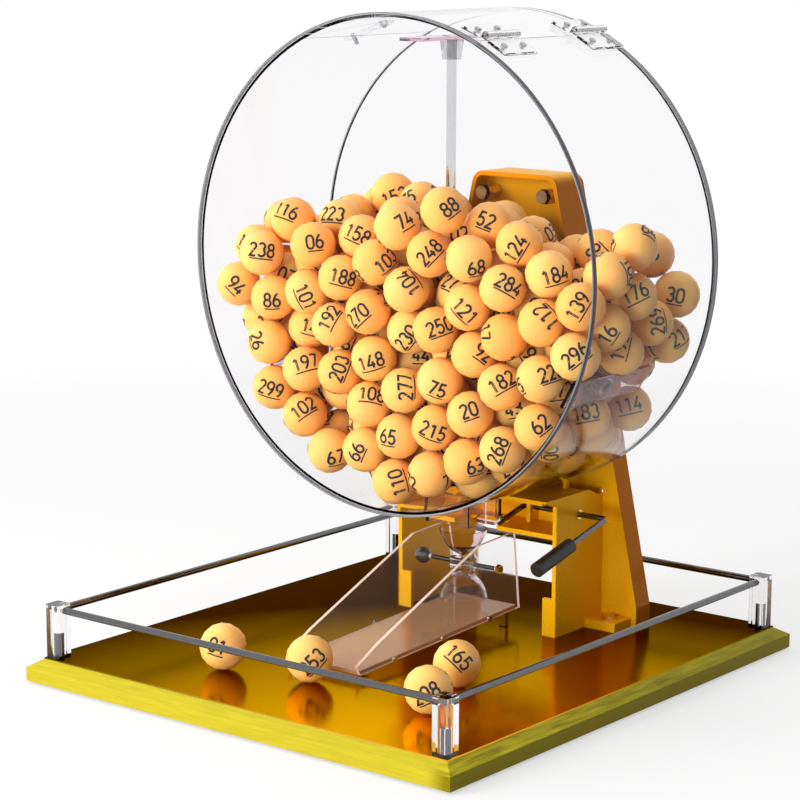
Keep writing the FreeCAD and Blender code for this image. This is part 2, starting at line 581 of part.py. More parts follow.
def build_drum():
    """Two discs, a bent shell with the outlet hole, and the bolts that hold it to the stand."""
    front = bar("front_disc", "drum_radius", "Y", (DRUM_FRONT, SHELL_FRONT), ("0", DRUM_Z))
    keep(front, "drum_front_disc")
    back = bar("back_sheet", "drum_radius", "Y", (SHELL_BACK, DRUM_BACK), ("0", DRUM_Z))
    holes = [bar("disc_bush_hole", "shaft_radius + run_gap + bush_wall + seat_gap", "Y",
                 (SHELL_BACK, DRUM_BACK), ("0", DRUM_Z))]
    holes += [joined("disc_bolt_hole", bolt_body(spot, "seat_gap")) for spot in DRUM_BOLT_SPOTS]
    keep(less("back_disc", back, holes), "drum_back_disc")
    keep(group("bolts", [joined("drum_bolt", bolt_body(spot, "0")) for spot in DRUM_BOLT_SPOTS]),
         "drum_bolts")
    spacers = [less("spacer", nut("spacer_hex", "nut_radius", "rim_depth", DRUM_BACK, *spot),
                    [bar("spacer_bore", "drum_bolt_radius + seat_gap", "Y",
                         (DRUM_BACK, WALL_FRONT), spot)]) for spot in DRUM_BOLT_SPOTS]
    keep(group("spacers", spacers), "drum_spacers")
    nuts = [less("rear_nut", nut("rear_nut_hex", "nut_radius", "nut_thick", WALL_BACK, *spot),
                 [bar("rear_nut_bore", "drum_bolt_radius + seat_gap", "Y",
                      (WALL_BACK, f"{WALL_BACK} + nut_thick"), spot)]) for spot in DRUM_BOLT_SPOTS]
    keep(group("rear_nuts", nuts), "drum_nuts")
    sweep = "(360 - 2 * door_half_angle)"
    shell = tube_sector("shell_bent", "90 + door_half_angle", sweep, (SHELL_FRONT, SHELL_BACK))
    outlet = bar("outlet", "outlet_radius", "Z", (f"{DRUM_Z} - drum_radius - overrun",
                 f"{DRUM_Z} - {INNER_RADIUS} + outlet_radius"), ("0", OUTLET_Y))
    keeper_hole = on_drum(doc.addObject("Part::Cylinder", "keeper_hole"), KEEPER_ANGLE,
                          INNER_RADIUS, "drum_back_shift")
    bind(keeper_hole, Radius="keeper_radius + seat_gap", Height="shell_thick")
    screw_holes = [leaf_screw(spot, "1", "seat_gap") for spot in HINGE_SPOTS]
    keep(less("shell", shell, [outlet, keeper_hole] + [h for pair in screw_holes for h in pair]),
         "drum_shell")


def bolt_body(spot, gap):
    """A countersunk bolt through the back disc, a spacer, the stand's wall and a nut."""
    head_end = f"{SHELL_BACK} + bolt_head_radius - drum_bolt_radius"
    shank = bar("bolt_shank", f"drum_bolt_radius + {gap}", "Y",
                (SHELL_BACK, f"{WALL_BACK} + nut_thick + bolt_tail"), spot)
    head = cone("bolt_cone", (f"bolt_head_radius + {gap}", f"drum_bolt_radius + {gap}"), "Y",
                (SHELL_BACK, head_end), spot)
    return [shank, head]


def on_drum(thing, angle, radius, y):
    """Stand an object on the drum: its Z points outwards, its X clockwise, its Y backwards."""
    return place(thing, f"({radius}) * cos({angle})", y, f"{DRUM_Z} + ({radius}) * sin({angle})",
                 Rotation(Vector(0, 1, 0), 90 - value(angle)))


# ---------------------------------------------------------------- door, hinges, latch

HINGE_SPOTS = ("drum_back_shift - hinge_front_shift", "drum_back_shift + hinge_rear_shift")
LEAF_ANGLE = drum_angle("leaf_relief + leaf_width / 2")
STRAP_SPAN = "(strap_length - strap_tail - strap_slot / 2)"
KEEPER_ANGLE = f"(strap_angle + {drum_angle(STRAP_SPAN)})"


def leaf_screw(y, side, gap):
    """The two screws of a leaf, or their holes: side is 1 on the drum's leaf, -1 on the door's."""
    angle = f"({SEAM_ANGLE} - {side} * {LEAF_ANGLE})"
    screws = []
    for end in (-1, 1):
        shank = doc.addObject("Part::Cylinder", "leaf_screw_shank")
        bind(shank, Radius=f"leaf_screw_radius + {gap}",
             Height="shell_thick + leaf_thick + 2 * seat_gap")
        spot = f"{y} + {end} * leaf_screw_pitch / 2"
        screws.append(on_drum(shank, angle, INNER_RADIUS, spot))
    return screws


def build_leaf(y, side, name):
    """A flat leaf on one side of the seam, with every other knuckle of the hinge."""
    angle = f"({SEAM_ANGLE} - {side} * {LEAF_ANGLE})"
    sheet_part = doc.addObject("Part::Box", f"{name}_sheet")
    bind(sheet_part, Length="leaf_width", Width="hinge_length", Height="leaf_thick")
    place(sheet_part, "-leaf_width / 2", "-hinge_length / 2", "seat_gap")
    flat = on_drum(joined(f"{name}_flat", [sheet_part, filler(name)]), angle, "drum_radius", y)
    step = "(hinge_length / knuckle_count)"
    first = 0 if side == "1" else 1
    pieces = []
    for number in range(first, int(value("knuckle_count")), 2):
        low = f"(-hinge_length / 2 + {number} * {step} + flat_gap / 2)"
        high = f"(-hinge_length / 2 + {number + 1} * {step} - flat_gap / 2)"
        pieces.append(bar(f"{name}_knuckle", "knuckle_radius", "Y", (low, high), ("0", "pin_rise")))
        pieces.append(block(f"{name}_tongue", ordered(side, "0", "leaf_relief + overrun"), (low, high),
                            ("pin_rise - knuckle_radius", "leaf_thick")))
    knuckles = on_drum(joined(f"{name}_knuckles", pieces), SEAM_ANGLE, "drum_radius", y)
    bore = doc.addObject("Part::Cylinder", f"{name}_bore")
    bind(bore, Radius="pin_radius + run_gap", Height="hinge_length + 2 * overrun")
    place(bore, y="-hinge_length / 2 - overrun", z="pin_rise", turn=LYING["Y"])
    bore_placed = on_drum(group(f"{name}_bore_line", [bore]), SEAM_ANGLE, "drum_radius", y)
    return less(name, joined(f"{name}_whole", [flat, knuckles]),
                [bore_placed] + leaf_screw(y, side, "seat_gap"))


def filler(name):
    """A thin pad under a leaf's middle, where the flat leaf rests on the round drum."""
    pad = doc.addObject("Part::Box", f"{name}_filler")
    bind(pad, Length="filler_width", Width="hinge_length", Height="leaf_thick / 2")
    return place(pad, "-filler_width / 2", "-hinge_length / 2", "seat_gap")


def build_door():
    """The bent door in the top of the drum, two clear hinges and a slotted latch strap."""
    gap_angle = drum_angle("door_gap")
    sweep = f"(2 * door_half_angle - 2 * {gap_angle})"
    ends = (f"{SHELL_FRONT} + door_gap", f"{SHELL_BACK} - door_gap")
    sheet_part = tube_sector("door_bent", f"{SEAM_ANGLE} + {gap_angle}", sweep, ends)
    strap_hole = doc.addObject("Part::Cylinder", "strap_hole")
    bind(strap_hole, Radius="strap_screw_radius + seat_gap", Height="shell_thick")
    on_drum(strap_hole, "strap_angle", INNER_RADIUS, "drum_back_shift")
    holes = [hole for y in HINGE_SPOTS for hole in leaf_screw(y, "-1", "seat_gap")]
    keep(less("door_sheet", sheet_part, [strap_hole] + holes), "door")
    for label, side in (("hinge_leaves_drum", "1"), ("hinge_leaves_door", "-1")):
        leaves = [build_leaf(y, side, f"{label}_{row}")
                  for row, y in enumerate(HINGE_SPOTS)]
        keep(group(label + "_pair", leaves), label)
    pins = []
    for y in HINGE_SPOTS:
        pin = doc.addObject("Part::Cylinder", "hinge_pin")
        bind(pin, Radius="pin_radius", Height="hinge_length")
        place(pin, y="-hinge_length / 2", z="pin_rise", turn=LYING["Y"])
        pins.append(on_drum(group("hinge_pin_line", [pin]), SEAM_ANGLE, "drum_radius", y))
    keep(group("hinge_pin_pair", pins), "hinge_pins")
    for label, side in (("hinge_screws_drum", "1"), ("hinge_screws_door", "-1")):
        screws = [screw for y in HINGE_SPOTS for screw in full_screws(y, side)]
        keep(group(label + "_set", screws), label)
    build_latch()


def full_screws(y, side):
    """Leaf screws with round heads."""
    angle = f"({SEAM_ANGLE} - {side} * {LEAF_ANGLE})"
    screws = []
    for end, shank in zip((-1, 1), leaf_screw(y, side, "0")):
        head = doc.addObject("Part::Cylinder", "leaf_screw_cap")
        bind(head, Radius="leaf_screw_head", Height="leaf_screw_radius")
        spot = f"{y} + {end} * leaf_screw_pitch / 2"
        on_drum(head, angle, "drum_radius + leaf_thick + seat_gap", spot)
        bind(shank, Height="shell_thick + leaf_thick + seat_gap + leaf_screw_radius / 2")
        screws.append(joined("leaf_screw", [shank, head]))
    return screws


def build_latch():
    """A strap that swivels on the door; its open slot takes a keeper stud on the shell."""
    strap = body("latch_strap")
    half = "strap_width / 2"
    slot = "strap_slot_width / 2"
    tip = "strap_length - strap_tail"
    outline = [("strap_tail", f"-{half}"), ("strap_tail", half), (f"-({tip})", half),
               (f"-({tip})", f"-{half}"), (f"-({tip}) + {slot}", f"-{half}"),
               (f"-({tip}) + {slot}", slot), (f"-({tip}) + strap_slot", slot),
               (f"-({tip}) + strap_slot", f"-{half}")]
    plate(strap, "XY_Plane", [outline], ("0", "strap_thick"))
    pocket(strap, "XY_Plane", [("0", "0", "strap_screw_radius + run_gap")], ("0", "strap_thick"))
    on_drum(strap, "strap_angle", "drum_radius + strap_lift", "drum_back_shift")
    keep(strap, "latch_strap")
    shank = doc.addObject("Part::Cylinder", "strap_shank")
    bind(shank, Radius="strap_screw_radius",
         Height="shell_thick + strap_lift + strap_thick + flat_gap + overrun")
    on_drum(shank, "strap_angle", INNER_RADIUS, "drum_back_shift")
    head = doc.addObject("Part::Cylinder", "strap_head")
    bind(head, Radius="strap_screw_head", Height="strap_screw_radius")
    on_drum(head, "strap_angle", "drum_radius + strap_lift + strap_thick + flat_gap",
            "drum_back_shift")
    washer = doc.addObject("Part::Cylinder", "strap_washer")
    bind(washer, Radius="strap_screw_head", Height="strap_lift - flat_gap / 2 - seat_gap")
    on_drum(washer, "strap_angle", "drum_radius + seat_gap", "drum_back_shift")
    keep(joined("strap_screw", [shank, head, washer]), "latch_screw")
    stud = doc.addObject("Part::Cylinder", "keeper")
    bind(stud, Radius="keeper_radius", Height="shell_thick + keeper_rise")
    keep(on_drum(stud, KEEPER_ANGLE, INNER_RADIUS, "drum_back_shift"), "latch_keeper")


# ---------------------------------------------------------------- outlet and lever

def build_spout():
    """A square clear duct under the outlet, slotted on the right for the lever's tongue."""
    half = "spout_side / 2"
    inner = "(spout_side / 2 - spout_wall)"
    top = f"{DRUM_Z} - drum_radius + spout_side / 4"
    y = (f"{OUTLET_Y} - {half}", f"{OUTLET_Y} + {half}")
    duct = block("duct_outer", (f"-{half}", half), y, (SPOUT_BASE, top))
    hollow = block("duct_inner", (f"-{inner}", inner),
                   (f"{OUTLET_Y} - {inner}", f"{OUTLET_Y} + {inner}"), (SPOUT_BASE, top))
    slot = block("duct_slot", (f"{inner} - overrun", half),
                 (f"{ROD_Y} - tongue_reach - tongue_play",
                  f"{ROD_Y} - tongue_reach + tongue_width + 2 * tongue_play"),
                 (SPOUT_BASE, f"{SPOUT_BASE} + slot_height"))
    saddle = bar("duct_saddle", "drum_radius + seat_gap", "Y",
                 (f"{DRUM_FRONT}", f"{DRUM_BACK}"), ("0", DRUM_Z))
    keep(less("spout_duct", duct, [joined("duct_tools", [hollow, slot, saddle])]), "outlet_spout")


TONGUE_SCREW_Y = "(-arm_left + tongue_screw_head)"


def build_lever():
    """A bent rod that turns in two bushes, a black grip, and a tongue on its inner end. The rod
    lies flat in the body's own XY plane, with the turning axis along X."""
    rod = body("lever_rod")
    path = rod.newObject("Sketcher::SketchObject", "rod_path")
    plane = next(item for item in rod.Origin.OriginFeatures if item.Role == "XY_Plane")
    path.AttachmentSupport = [(plane, "")]
    path.MapMode = "FlatFace"
    draw_path(path)
    ring = rod.newObject("Sketcher::SketchObject", "rod_ring")
    side = next(item for item in rod.Origin.OriginFeatures if item.Role == "XZ_Plane")
    ring.AttachmentSupport = [(side, "")]
    ring.MapMode = "FlatFace"
    ring.setExpression("AttachmentOffset.Base.z", bound("arm_right"))
    draw_circle(ring, ("rod_right", "0", "rod_radius"))
    pipe = rod.newObject("PartDesign::AdditivePipe", "rod_pipe")
    pipe.Profile = ring
    pipe.Spine = (path, [])
    pocket(rod, "XY_Plane", [("rod_left", TONGUE_SCREW_Y, "tongue_screw_radius + seat_gap")],
           ("0", "rod_radius + overrun"))
    slope = Rotation(Vector(1, 0, 0), value("rod_slope"))
    keep(place(rod, "0", ROD_Y, ROD_Z, slope), "lever_rod")
    grip = body("lever_grip")
    turned(grip, [("rod_radius + seat_gap", "0"), ("grip_radius - grip_bevel", "0"),
                  ("grip_radius", "grip_bevel"), ("grip_radius", "grip_length - grip_bevel"),
                  ("grip_radius - grip_bevel", "grip_length"), ("0", "grip_length"),
                  ("0", "grip_length - grip_cap"),
                  ("rod_radius + seat_gap", "grip_length - grip_cap")])
    forward = Rotation(Vector(1, 0, 0), value("rod_slope") + 90)
    reach = "(arm_right - grip_length + grip_cap + seat_gap)"
    place(grip, "rod_right", f"{ROD_Y} - {reach} * cos(rod_slope)",
          f"{ROD_Z} - {reach} * sin(rod_slope)", forward)
    keep(grip, "lever_grip")
    bushes = []
    for centre in ("web_spacing / 2", "rib_x"):
        ends = (f"{centre} - stand_wall / 2 - bush_overhang",
                f"{centre} + stand_wall / 2 + bush_overhang")
        sleeve = bar("bush_sleeve", "bush_radius", "X", ends, (ROD_Y, ROD_Z))
        bore = bar("bush_bore", "rod_radius + run_gap", "X", ends, (ROD_Y, ROD_Z))
        bushes.append(less("bush", sleeve, [bore]))
    keep(group("bushes", bushes), "lever_bushes")
    build_tongue(slope)


def draw_path(path):
    """Right arm, bend, long straight run, bend, left arm."""
    def at(x, y):
        return Vector(value(x), value(y), 0)

    bend_in = "(rod_right - rod_bend)"
    bend_out = "(rod_left + rod_bend)"
    half_turn = math.pi / 2
    radius = value("rod_bend")
    right = path.addGeometry(Part.LineSegment(at("rod_right", "-arm_right"),
                                              at("rod_right", "-rod_bend")))
    first = path.addGeometry(Part.ArcOfCircle(
        Part.Circle(at(bend_in, "-rod_bend"), Vector(0, 0, 1), radius), 0, half_turn))
    run = path.addGeometry(Part.LineSegment(at(bend_in, "0"), at(bend_out, "0")))
    second = path.addGeometry(Part.ArcOfCircle(
        Part.Circle(at(bend_out, "-rod_bend"), Vector(0, 0, 1), radius), half_turn, math.pi))
    left = path.addGeometry(Part.LineSegment(at("rod_left", "-rod_bend"),
                                             at("rod_left", "-arm_left")))
    joints = ((right, 2, first, 1), (first, 2, run, 1), (run, 2, second, 1), (second, 2, left, 1))
    for joint in joints:
        path.addConstraint(Sketcher.Constraint("Coincident", *joint))
    spots = ((right, 1, "X", "rod_right"), (right, 1, "Y", "-arm_right"),
             (right, 2, "X", "rod_right"), (right, 2, "Y", "-rod_bend"),
             (first, 3, "X", bend_in), (first, 3, "Y", "-rod_bend"), (run, 1, "X", bend_in),
             (run, 2, "X", bend_out), (run, 2, "Y", "0"), (second, 3, "X", bend_out),
             (second, 3, "Y", "-rod_bend"), (left, 1, "Y", "-rod_bend"),
             (left, 2, "X", "rod_left"), (left, 2, "Y", "-arm_left"))
    for edge, end, axis, formula in spots:
        constrain(path, Sketcher.Constraint(f"Distance{axis}", -1, 1, edge, end, value(formula)),
                  formula)


def build_tongue(slope):
    """A clear plate fixed under the rod's inner arm, reaching through the slot into the duct."""
    def tilted(thing):
        return place(thing, "0", ROD_Y, ROD_Z, slope)

    low = "(rod_radius + seat_gap)"
    high = "(rod_radius + seat_gap + tongue_thick)"
    sheet_part = block("tongue_sheet", ("tongue_tip", "rod_left + rod_radius"),
                       ("-tongue_reach", "-tongue_reach + tongue_width"), (low, high))
    at = ("rod_left", TONGUE_SCREW_Y)
    hole = bar("tongue_hole", "tongue_screw_radius + seat_gap", "Z", (low, high), at)
    keep(tilted(less("tongue_plate", sheet_part, [hole])), "gate_tongue")
    shank = bar("tongue_shank", "tongue_screw_radius", "Z", ("seat_gap", high), at)
    head = bar("tongue_head", "tongue_screw_head", "Z", (high, f"{high} + tongue_screw_radius"), at)
    keep(tilted(joined("tongue_fixing", [shank, head])), "tongue_screw")


# ---------------------------------------------------------------- chute and turning cup

CHUTE_INNER = "(chute_width / 2 - chute_plate)"


def build_chute():
    """Two side plates and a sloping floor on four short feet, joined with small screws."""
    outline = [("chute_front", chute_base("chute_front")), ("chute_rear", chute_base("chute_rear")),
               ("chute_top_y", f"{TABLE} + chute_top_rise"),
               ("chute_knee_y", f"{TABLE} + chute_knee_rise"),
               ("chute_brow_y", f"{TABLE} + chute_brow_rise"),
               ("chute_front - chute_nose", f"{chute_base('chute_front')} + chute_nose_rise")]
    screw_spots = ["chute_front + chute_screw_inset", "(chute_front + chute_rear) / 2",
                   "chute_rear - chute_screw_inset"]
    half_floor = "chute_plate / 2 / cos(chute_slope)"
    for side, sign in SIDES:
        panel = body(f"chute_{side}_plate")
        plate(panel, "YZ_Plane", [outline], ordered(sign, CHUTE_INNER, "chute_width / 2"))
        tools = [bar("side_spindle_hole", "spindle_radius + run_gap", "X",
                     ordered(sign, CHUTE_INNER, "chute_width / 2"), (OUTLET_Y, CUP_Z))]
        tools += [bar("side_screw_hole", "chute_screw_radius + seat_gap", "X",
                      ordered(sign, CHUTE_INNER, "chute_width / 2"),
                      (spot, f"{chute_base(spot)} + {half_floor}")) for spot in screw_spots]
        keep(less(f"chute_panel_{side}", panel, tools), f"chute_side_{side}")
    floor = doc.addObject("Part::Box", "chute_floor_sheet")
    bind(floor, Length=f"2 * {CHUTE_INNER}", Height="chute_plate",
         Width="(chute_rear - chute_front) / cos(chute_slope) - chute_plate")
    place(floor, f"-{CHUTE_INNER}", "chute_front", chute_base("chute_front"),
          Rotation(Vector(1, 0, 0), value("chute_slope")))
    screws, holes = [], []
    for _, sign in SIDES:
        for spot in screw_spots:
            at = (spot, f"{chute_base(spot)} + {half_floor}")
            span = ordered(sign, "chute_width / 2 - chute_screw_length", "chute_width / 2")
            shank = bar("chute_shank", "chute_screw_radius", "X", span, at)
            head_span = ordered(sign, "chute_width / 2", "chute_width / 2 + chute_screw_radius")
            screws.append(joined("chute_screw", [shank, bar("chute_head", "chute_screw_head", "X",
                                                            head_span, at)]))
            holes.append(bar("floor_hole", "chute_screw_radius + seat_gap", "X", span, at))
    keep(less("floor_sheet", floor, holes), "chute_floor")
    keep(group("chute_screw_set", screws), "chute_screws")
    feet = [bar("chute_peg", "chute_foot_radius", "Z",
                (TABLE, f"{chute_base(f'{y} - chute_foot_radius')} - seat_gap"), (x, y))
            for x in (f"-({CHUTE_INNER} - chute_foot_radius)", f"{CHUTE_INNER} - chute_foot_radius")
            for y in ("chute_front + chute_foot_inset", "chute_rear - chute_foot_inset")]
    keep(group("chute_peg_set", feet), "chute_feet")


def build_cup():
    """A clear hourglass cup on a cross spindle with a chrome knob and a nut."""
    cup = body("turning_cup")
    neck = "cup_half - cup_neck_drop"
    belly = "cup_half - cup_belly_drop"
    lip = "cup_half - cup_lip_drop"
    upper = [("cup_collar", "cup_collar_half"), ("cup_waist", "cup_collar_half + cup_throat"),
             ("cup_waist + cup_neck_flare", neck), ("cup_rim - cup_belly", belly),
             ("cup_rim - cup_lip", lip), ("cup_rim", "cup_half"), ("cup_rim - cup_wall", "cup_half"),
             ("cup_rim - cup_lip - cup_wall", lip), ("cup_rim - cup_belly - cup_wall", belly),
             ("cup_waist + cup_neck_flare - cup_neck_wall", neck), ("0", "cup_floor")]
    lower = [(x, f"-({y})") for x, y in reversed(upper)]
    turned(cup, upper + lower)
    pocket(cup, "YZ_Plane", [("0", "0", "spindle_radius + seat_gap")],
           ("-cup_collar - overrun", "cup_collar + overrun"))
    keep(place(cup, "0", OUTLET_Y, CUP_Z), "turning_cup")
    side = "chute_width / 2"
    spot = (OUTLET_Y, CUP_Z)
    knob_x = f"-({side} + flat_gap + knob_radius)"
    tail_x = f"{side} + flat_gap + spindle_nut_thick + bolt_tail"
    keep(bar("spindle_rod", "spindle_radius", "X", (knob_x, tail_x), spot), "cup_spindle")
    ball = doc.addObject("Part::Sphere", "knob_ball")
    bind(ball, Radius="knob_radius")
    place(ball, knob_x, *spot)
    bore = bar("knob_bore", "spindle_radius + seat_gap", "X",
               (f"{knob_x} - seat_gap", f"{knob_x} + knob_radius"), spot)
    keep(less("knob", ball, [bore]), "cup_knob")
    hexagon = doc.addObject("Part::Prism", "spindle_hex")
    hexagon.Polygon = 6
    bind(hexagon, Circumradius="spindle_nut_radius", Height="spindle_nut_thick")
    place(hexagon, f"{side} + flat_gap", *spot, LYING["X"])
    nut_bore = bar("spindle_nut_bore", "spindle_radius + seat_gap", "X",
                   (f"{side} + flat_gap", f"{side} + flat_gap + spindle_nut_thick"), spot)
    keep(less("spindle_nut", hexagon, [nut_bore]), "cup_nut")


# ---------------------------------------------------------------- stirrer and crank

ARM_ANGLES = (90, 210, 330)
HUB_BACK = "(shaft_front + hub_length)"
HUB_MIDDLE = "(shaft_front + hub_length / 2)"
CRANK_FRONT = f"({STAND_REAR} + bush_flange + crank_gap)"
CRANK_BACK = f"({CRANK_FRONT} + crank_thick)"


def spoke(thing, angle):
    """Stand an object on the stirrer's axis: its Z points outwards at an angle from +X to +Z."""
    return place(thing, "0", HUB_MIDDLE, DRUM_Z, Rotation(Vector(0, 1, 0), 90 - angle))


def build_stirrer():
    """Shaft, hub, three rods with collars, and three blades that sweep the drum's wall."""
    keep(bar("shaft", "shaft_radius", "Y", ("shaft_front", CRANK_BACK), ("0", DRUM_Z)),
         "stirrer_shaft")
    hub = bar("hub_disc", "hub_radius", "Y", ("shaft_front", HUB_BACK), ("0", DRUM_Z))
    tools = [bar("hub_bore", "shaft_radius + seat_gap", "Y", ("shaft_front", HUB_BACK),
                 ("0", DRUM_Z))]
    arms, collars, blades = [], [], []
    seat = "(hub_radius - arm_seat)"
    for angle in ARM_ANGLES:
        hole = doc.addObject("Part::Cylinder", "arm_hole")
        bind(hole, Radius="arm_radius + seat_gap", Height="arm_seat + overrun")
        place(hole, z=seat)
        tools.append(spoke(group("arm_hole_line", [hole]), angle))
        arm = doc.addObject("Part::Cylinder", "arm_rod")
        bind(arm, Radius="arm_radius", Height=f"blade_radius - {seat} - seat_gap")
        place(arm, z=f"{seat} + seat_gap")
        arms.append(spoke(group("arm_line", [arm]), angle))
        collars.append(build_collar(angle))
        blade = doc.addObject("Part::Box", "blade_sheet")
        bind(blade, Length="blade_width", Width="blade_length", Height="blade_thick")
        place(blade, "-blade_width / 2", "-blade_length / 2", "blade_radius")
        blades.append(spoke(group("blade_line", [blade]), angle))
    keep(less("hub", hub, [joined("hub_tools", tools)]), "stirrer_hub")
    keep(group("arms", arms), "stirrer_arms")
    keep(group("collars", collars), "stirrer_collars")
    keep(group("blades", blades), "stirrer_blades")
    bush_bore = "shaft_radius + run_gap"
    sleeve = bar("shaft_sleeve", f"{bush_bore} + bush_wall", "Y", (SHELL_BACK, STAND_REAR),
                 ("0", DRUM_Z))
    flange = bar("shaft_flange", f"{bush_bore} + bush_wall + bush_flange_wall", "Y",
                 (STAND_REAR, f"{STAND_REAR} + bush_flange"), ("0", DRUM_Z))
    bore = bar("shaft_bore", bush_bore, "Y", (SHELL_BACK, f"{STAND_REAR} + bush_flange"),
               ("0", DRUM_Z))
    keep(less("shaft_bush", joined("shaft_bush_whole", [sleeve, flange]), [bore]), "shaft_bush")


def build_collar(angle):
    """A bell-shaped collar between a rod's end and its blade."""
    base = "(blade_radius - collar_length)"
    bell = doc.addObject("Part::Cone", "collar_bell")
    bind(bell, Radius1="collar_narrow", Radius2="collar_wide",
         Height="collar_length - seat_gap")
    place(bell, z=base)
    bore = doc.addObject("Part::Cylinder", "collar_bore")
    bind(bore, Radius="arm_radius + seat_gap", Height="collar_length")
    place(bore, z=base)
    return spoke(less("collar", bell, [bore]), angle)


def build_crank():
    """The hand crank on the shaft's rear end: arm, pin and free-turning grip."""
    half = "crank_width / 2"
    pin_z = f"({DRUM_Z} - crank_reach)"
    depth = (CRANK_FRONT, CRANK_BACK)
    parts = [bar("crank_top", half, "Y", depth, ("0", DRUM_Z)),
             bar("crank_end", half, "Y", depth, ("0", pin_z)),
             block("crank_bar", (f"-{half}", half), depth, (pin_z, DRUM_Z))]
    holes = [bar("crank_shaft_hole", "shaft_radius + seat_gap", "Y", depth, ("0", DRUM_Z)),
             bar("crank_pin_hole", "crank_pin_radius + seat_gap", "Y", depth, ("0", pin_z))]
    keep(less("crank", joined("crank_whole", parts), holes), "crank_arm")
    grip_front = f"{CRANK_BACK} + flat_gap"
    grip_back = f"{grip_front} + crank_grip_length"
    pin = bar("crank_pin_rod", "crank_pin_radius", "Y", (CRANK_FRONT, f"{grip_back} + flat_gap"),
              ("0", pin_z))
    cap = bar("crank_pin_cap", "crank_pin_radius + crank_cap_lip", "Y",
              (f"{grip_back} + flat_gap", f"{grip_back} + flat_gap + crank_cap"), ("0", pin_z))
    keep(joined("crank_pin_whole", [pin, cap]), "crank_pin")
    barrel = bar("crank_barrel", "crank_grip_radius", "Y", (grip_front, grip_back), ("0", pin_z))
    bore = bar("crank_bore", "crank_pin_radius + run_gap", "Y", (grip_front, grip_back),
               ("0", pin_z))
    keep(less("crank_handle", barrel, [bore]), "crank_grip")


# ---------------------------------------------------------------- balls

def pile_centres():
    """Settle the balls in the drum: gravity, then contacts with the walls, the shaft, the rods
    and the blades, until nothing overlaps. Places are (x, y, z) about the drum's centre."""
    chance = random.Random(PILE_SEED)
    radius = value("ball_radius")
    reach = radius + value("flat_gap")
    spacing = 2 * (radius + value("flat_gap"))
    wall = value(INNER_RADIUS) - reach
    front = value(f"{SHELL_FRONT} - drum_back_shift") + reach
    back = value(f"{SHELL_BACK} - drum_back_shift") - reach
    level = value("fill_rise")
    inner = value(INNER_RADIUS)
    share = level / inner
    segment = inner * inner * (math.pi / 2 + math.asin(share) + share * math.sqrt(1 - share * share))
    volume = segment * value(f"{SHELL_BACK} - {SHELL_FRONT}")
    count = int(volume * value("pack_share") / (4 / 3 * math.pi * radius ** 3))
    balls = []
    while len(balls) < count:
        x, z = chance.uniform(-wall, wall), chance.uniform(-wall, level + radius)
        if x * x + z * z < wall * wall:
            balls.append([x, chance.uniform(front, back), z])
    obstacles = stirrer_obstacles(reach)
    for step in range(SETTLE_STEPS + FREE_STEPS):
        if step % SORT_EVERY == 0:
            pairs = near_pairs(balls, spacing * NEIGHBOURHOOD)
        fall = max(FALL_STEP * (1 - step / SETTLE_STEPS), LAST_FALL)
        for ball in balls:
            ball[2] -= fall
        deepest = part_pairs(balls, pairs, spacing, INWARD if step > SETTLE_STEPS else 0)
        if step > SETTLE_STEPS and deepest < value("flat_gap") / 2:
            break
        for ball in balls:
            obstacles(ball)
            ball[1] = min(max(ball[1], front), back)
            away = math.hypot(ball[0], ball[2])
            if away > wall:
                ball[0] *= wall / away
                ball[2] *= wall / away
    return balls


def near_pairs(balls, limit):
    """Index pairs of balls closer than a limit, found on a grid of cells."""
    cells = {}
    for index, ball in enumerate(balls):
        cell = (int(ball[0] // limit), int(ball[1] // limit), int(ball[2] // limit))
        cells.setdefault(cell, []).append(index)
    pairs = []
    for (i, j, k), members in cells.items():
        around = [other for a in (-1, 0, 1) for b in (-1, 0, 1) for c in (-1, 0, 1)
                  for other in cells.get((i + a, j + b, k + c), ())]
        for index in members:
            x, y, z = balls[index]
            for other in around:
                if other > index:
                    p = balls[other]
                    if (p[0] - x) ** 2 + (p[1] - y) ** 2 + (p[2] - z) ** 2 < limit * limit:
                        pairs.append((index, other))
    return pairs


def part_pairs(balls, pairs, spacing, inward):
    """Push overlapping pairs apart, half each, with a little ease towards the drum's axis so
    that no row jams along the wall. Returns the deepest overlap found."""
    square = spacing * spacing
    closest = square
    for first, second in pairs:
        a, b = balls[first], balls[second]
        x, y, z = b[0] - a[0], b[1] - a[1], b[2] - a[2]
        apart = x * x + y * y + z * z
        if 0 < apart < square:
            closest = min(closest, apart)
            push = (spacing / math.sqrt(apart) - 1) / 2
            a[0] -= x * push
            a[1] -= y * push
            a[2] -= z * push
            b[0] += x * push
            b[1] += y * push
            b[2] += z * push
            ease = 1 - inward * push
            a[0] *= ease
            a[2] *= ease
            b[0] *= ease
            b[2] *= ease
    return spacing - math.sqrt(closest)


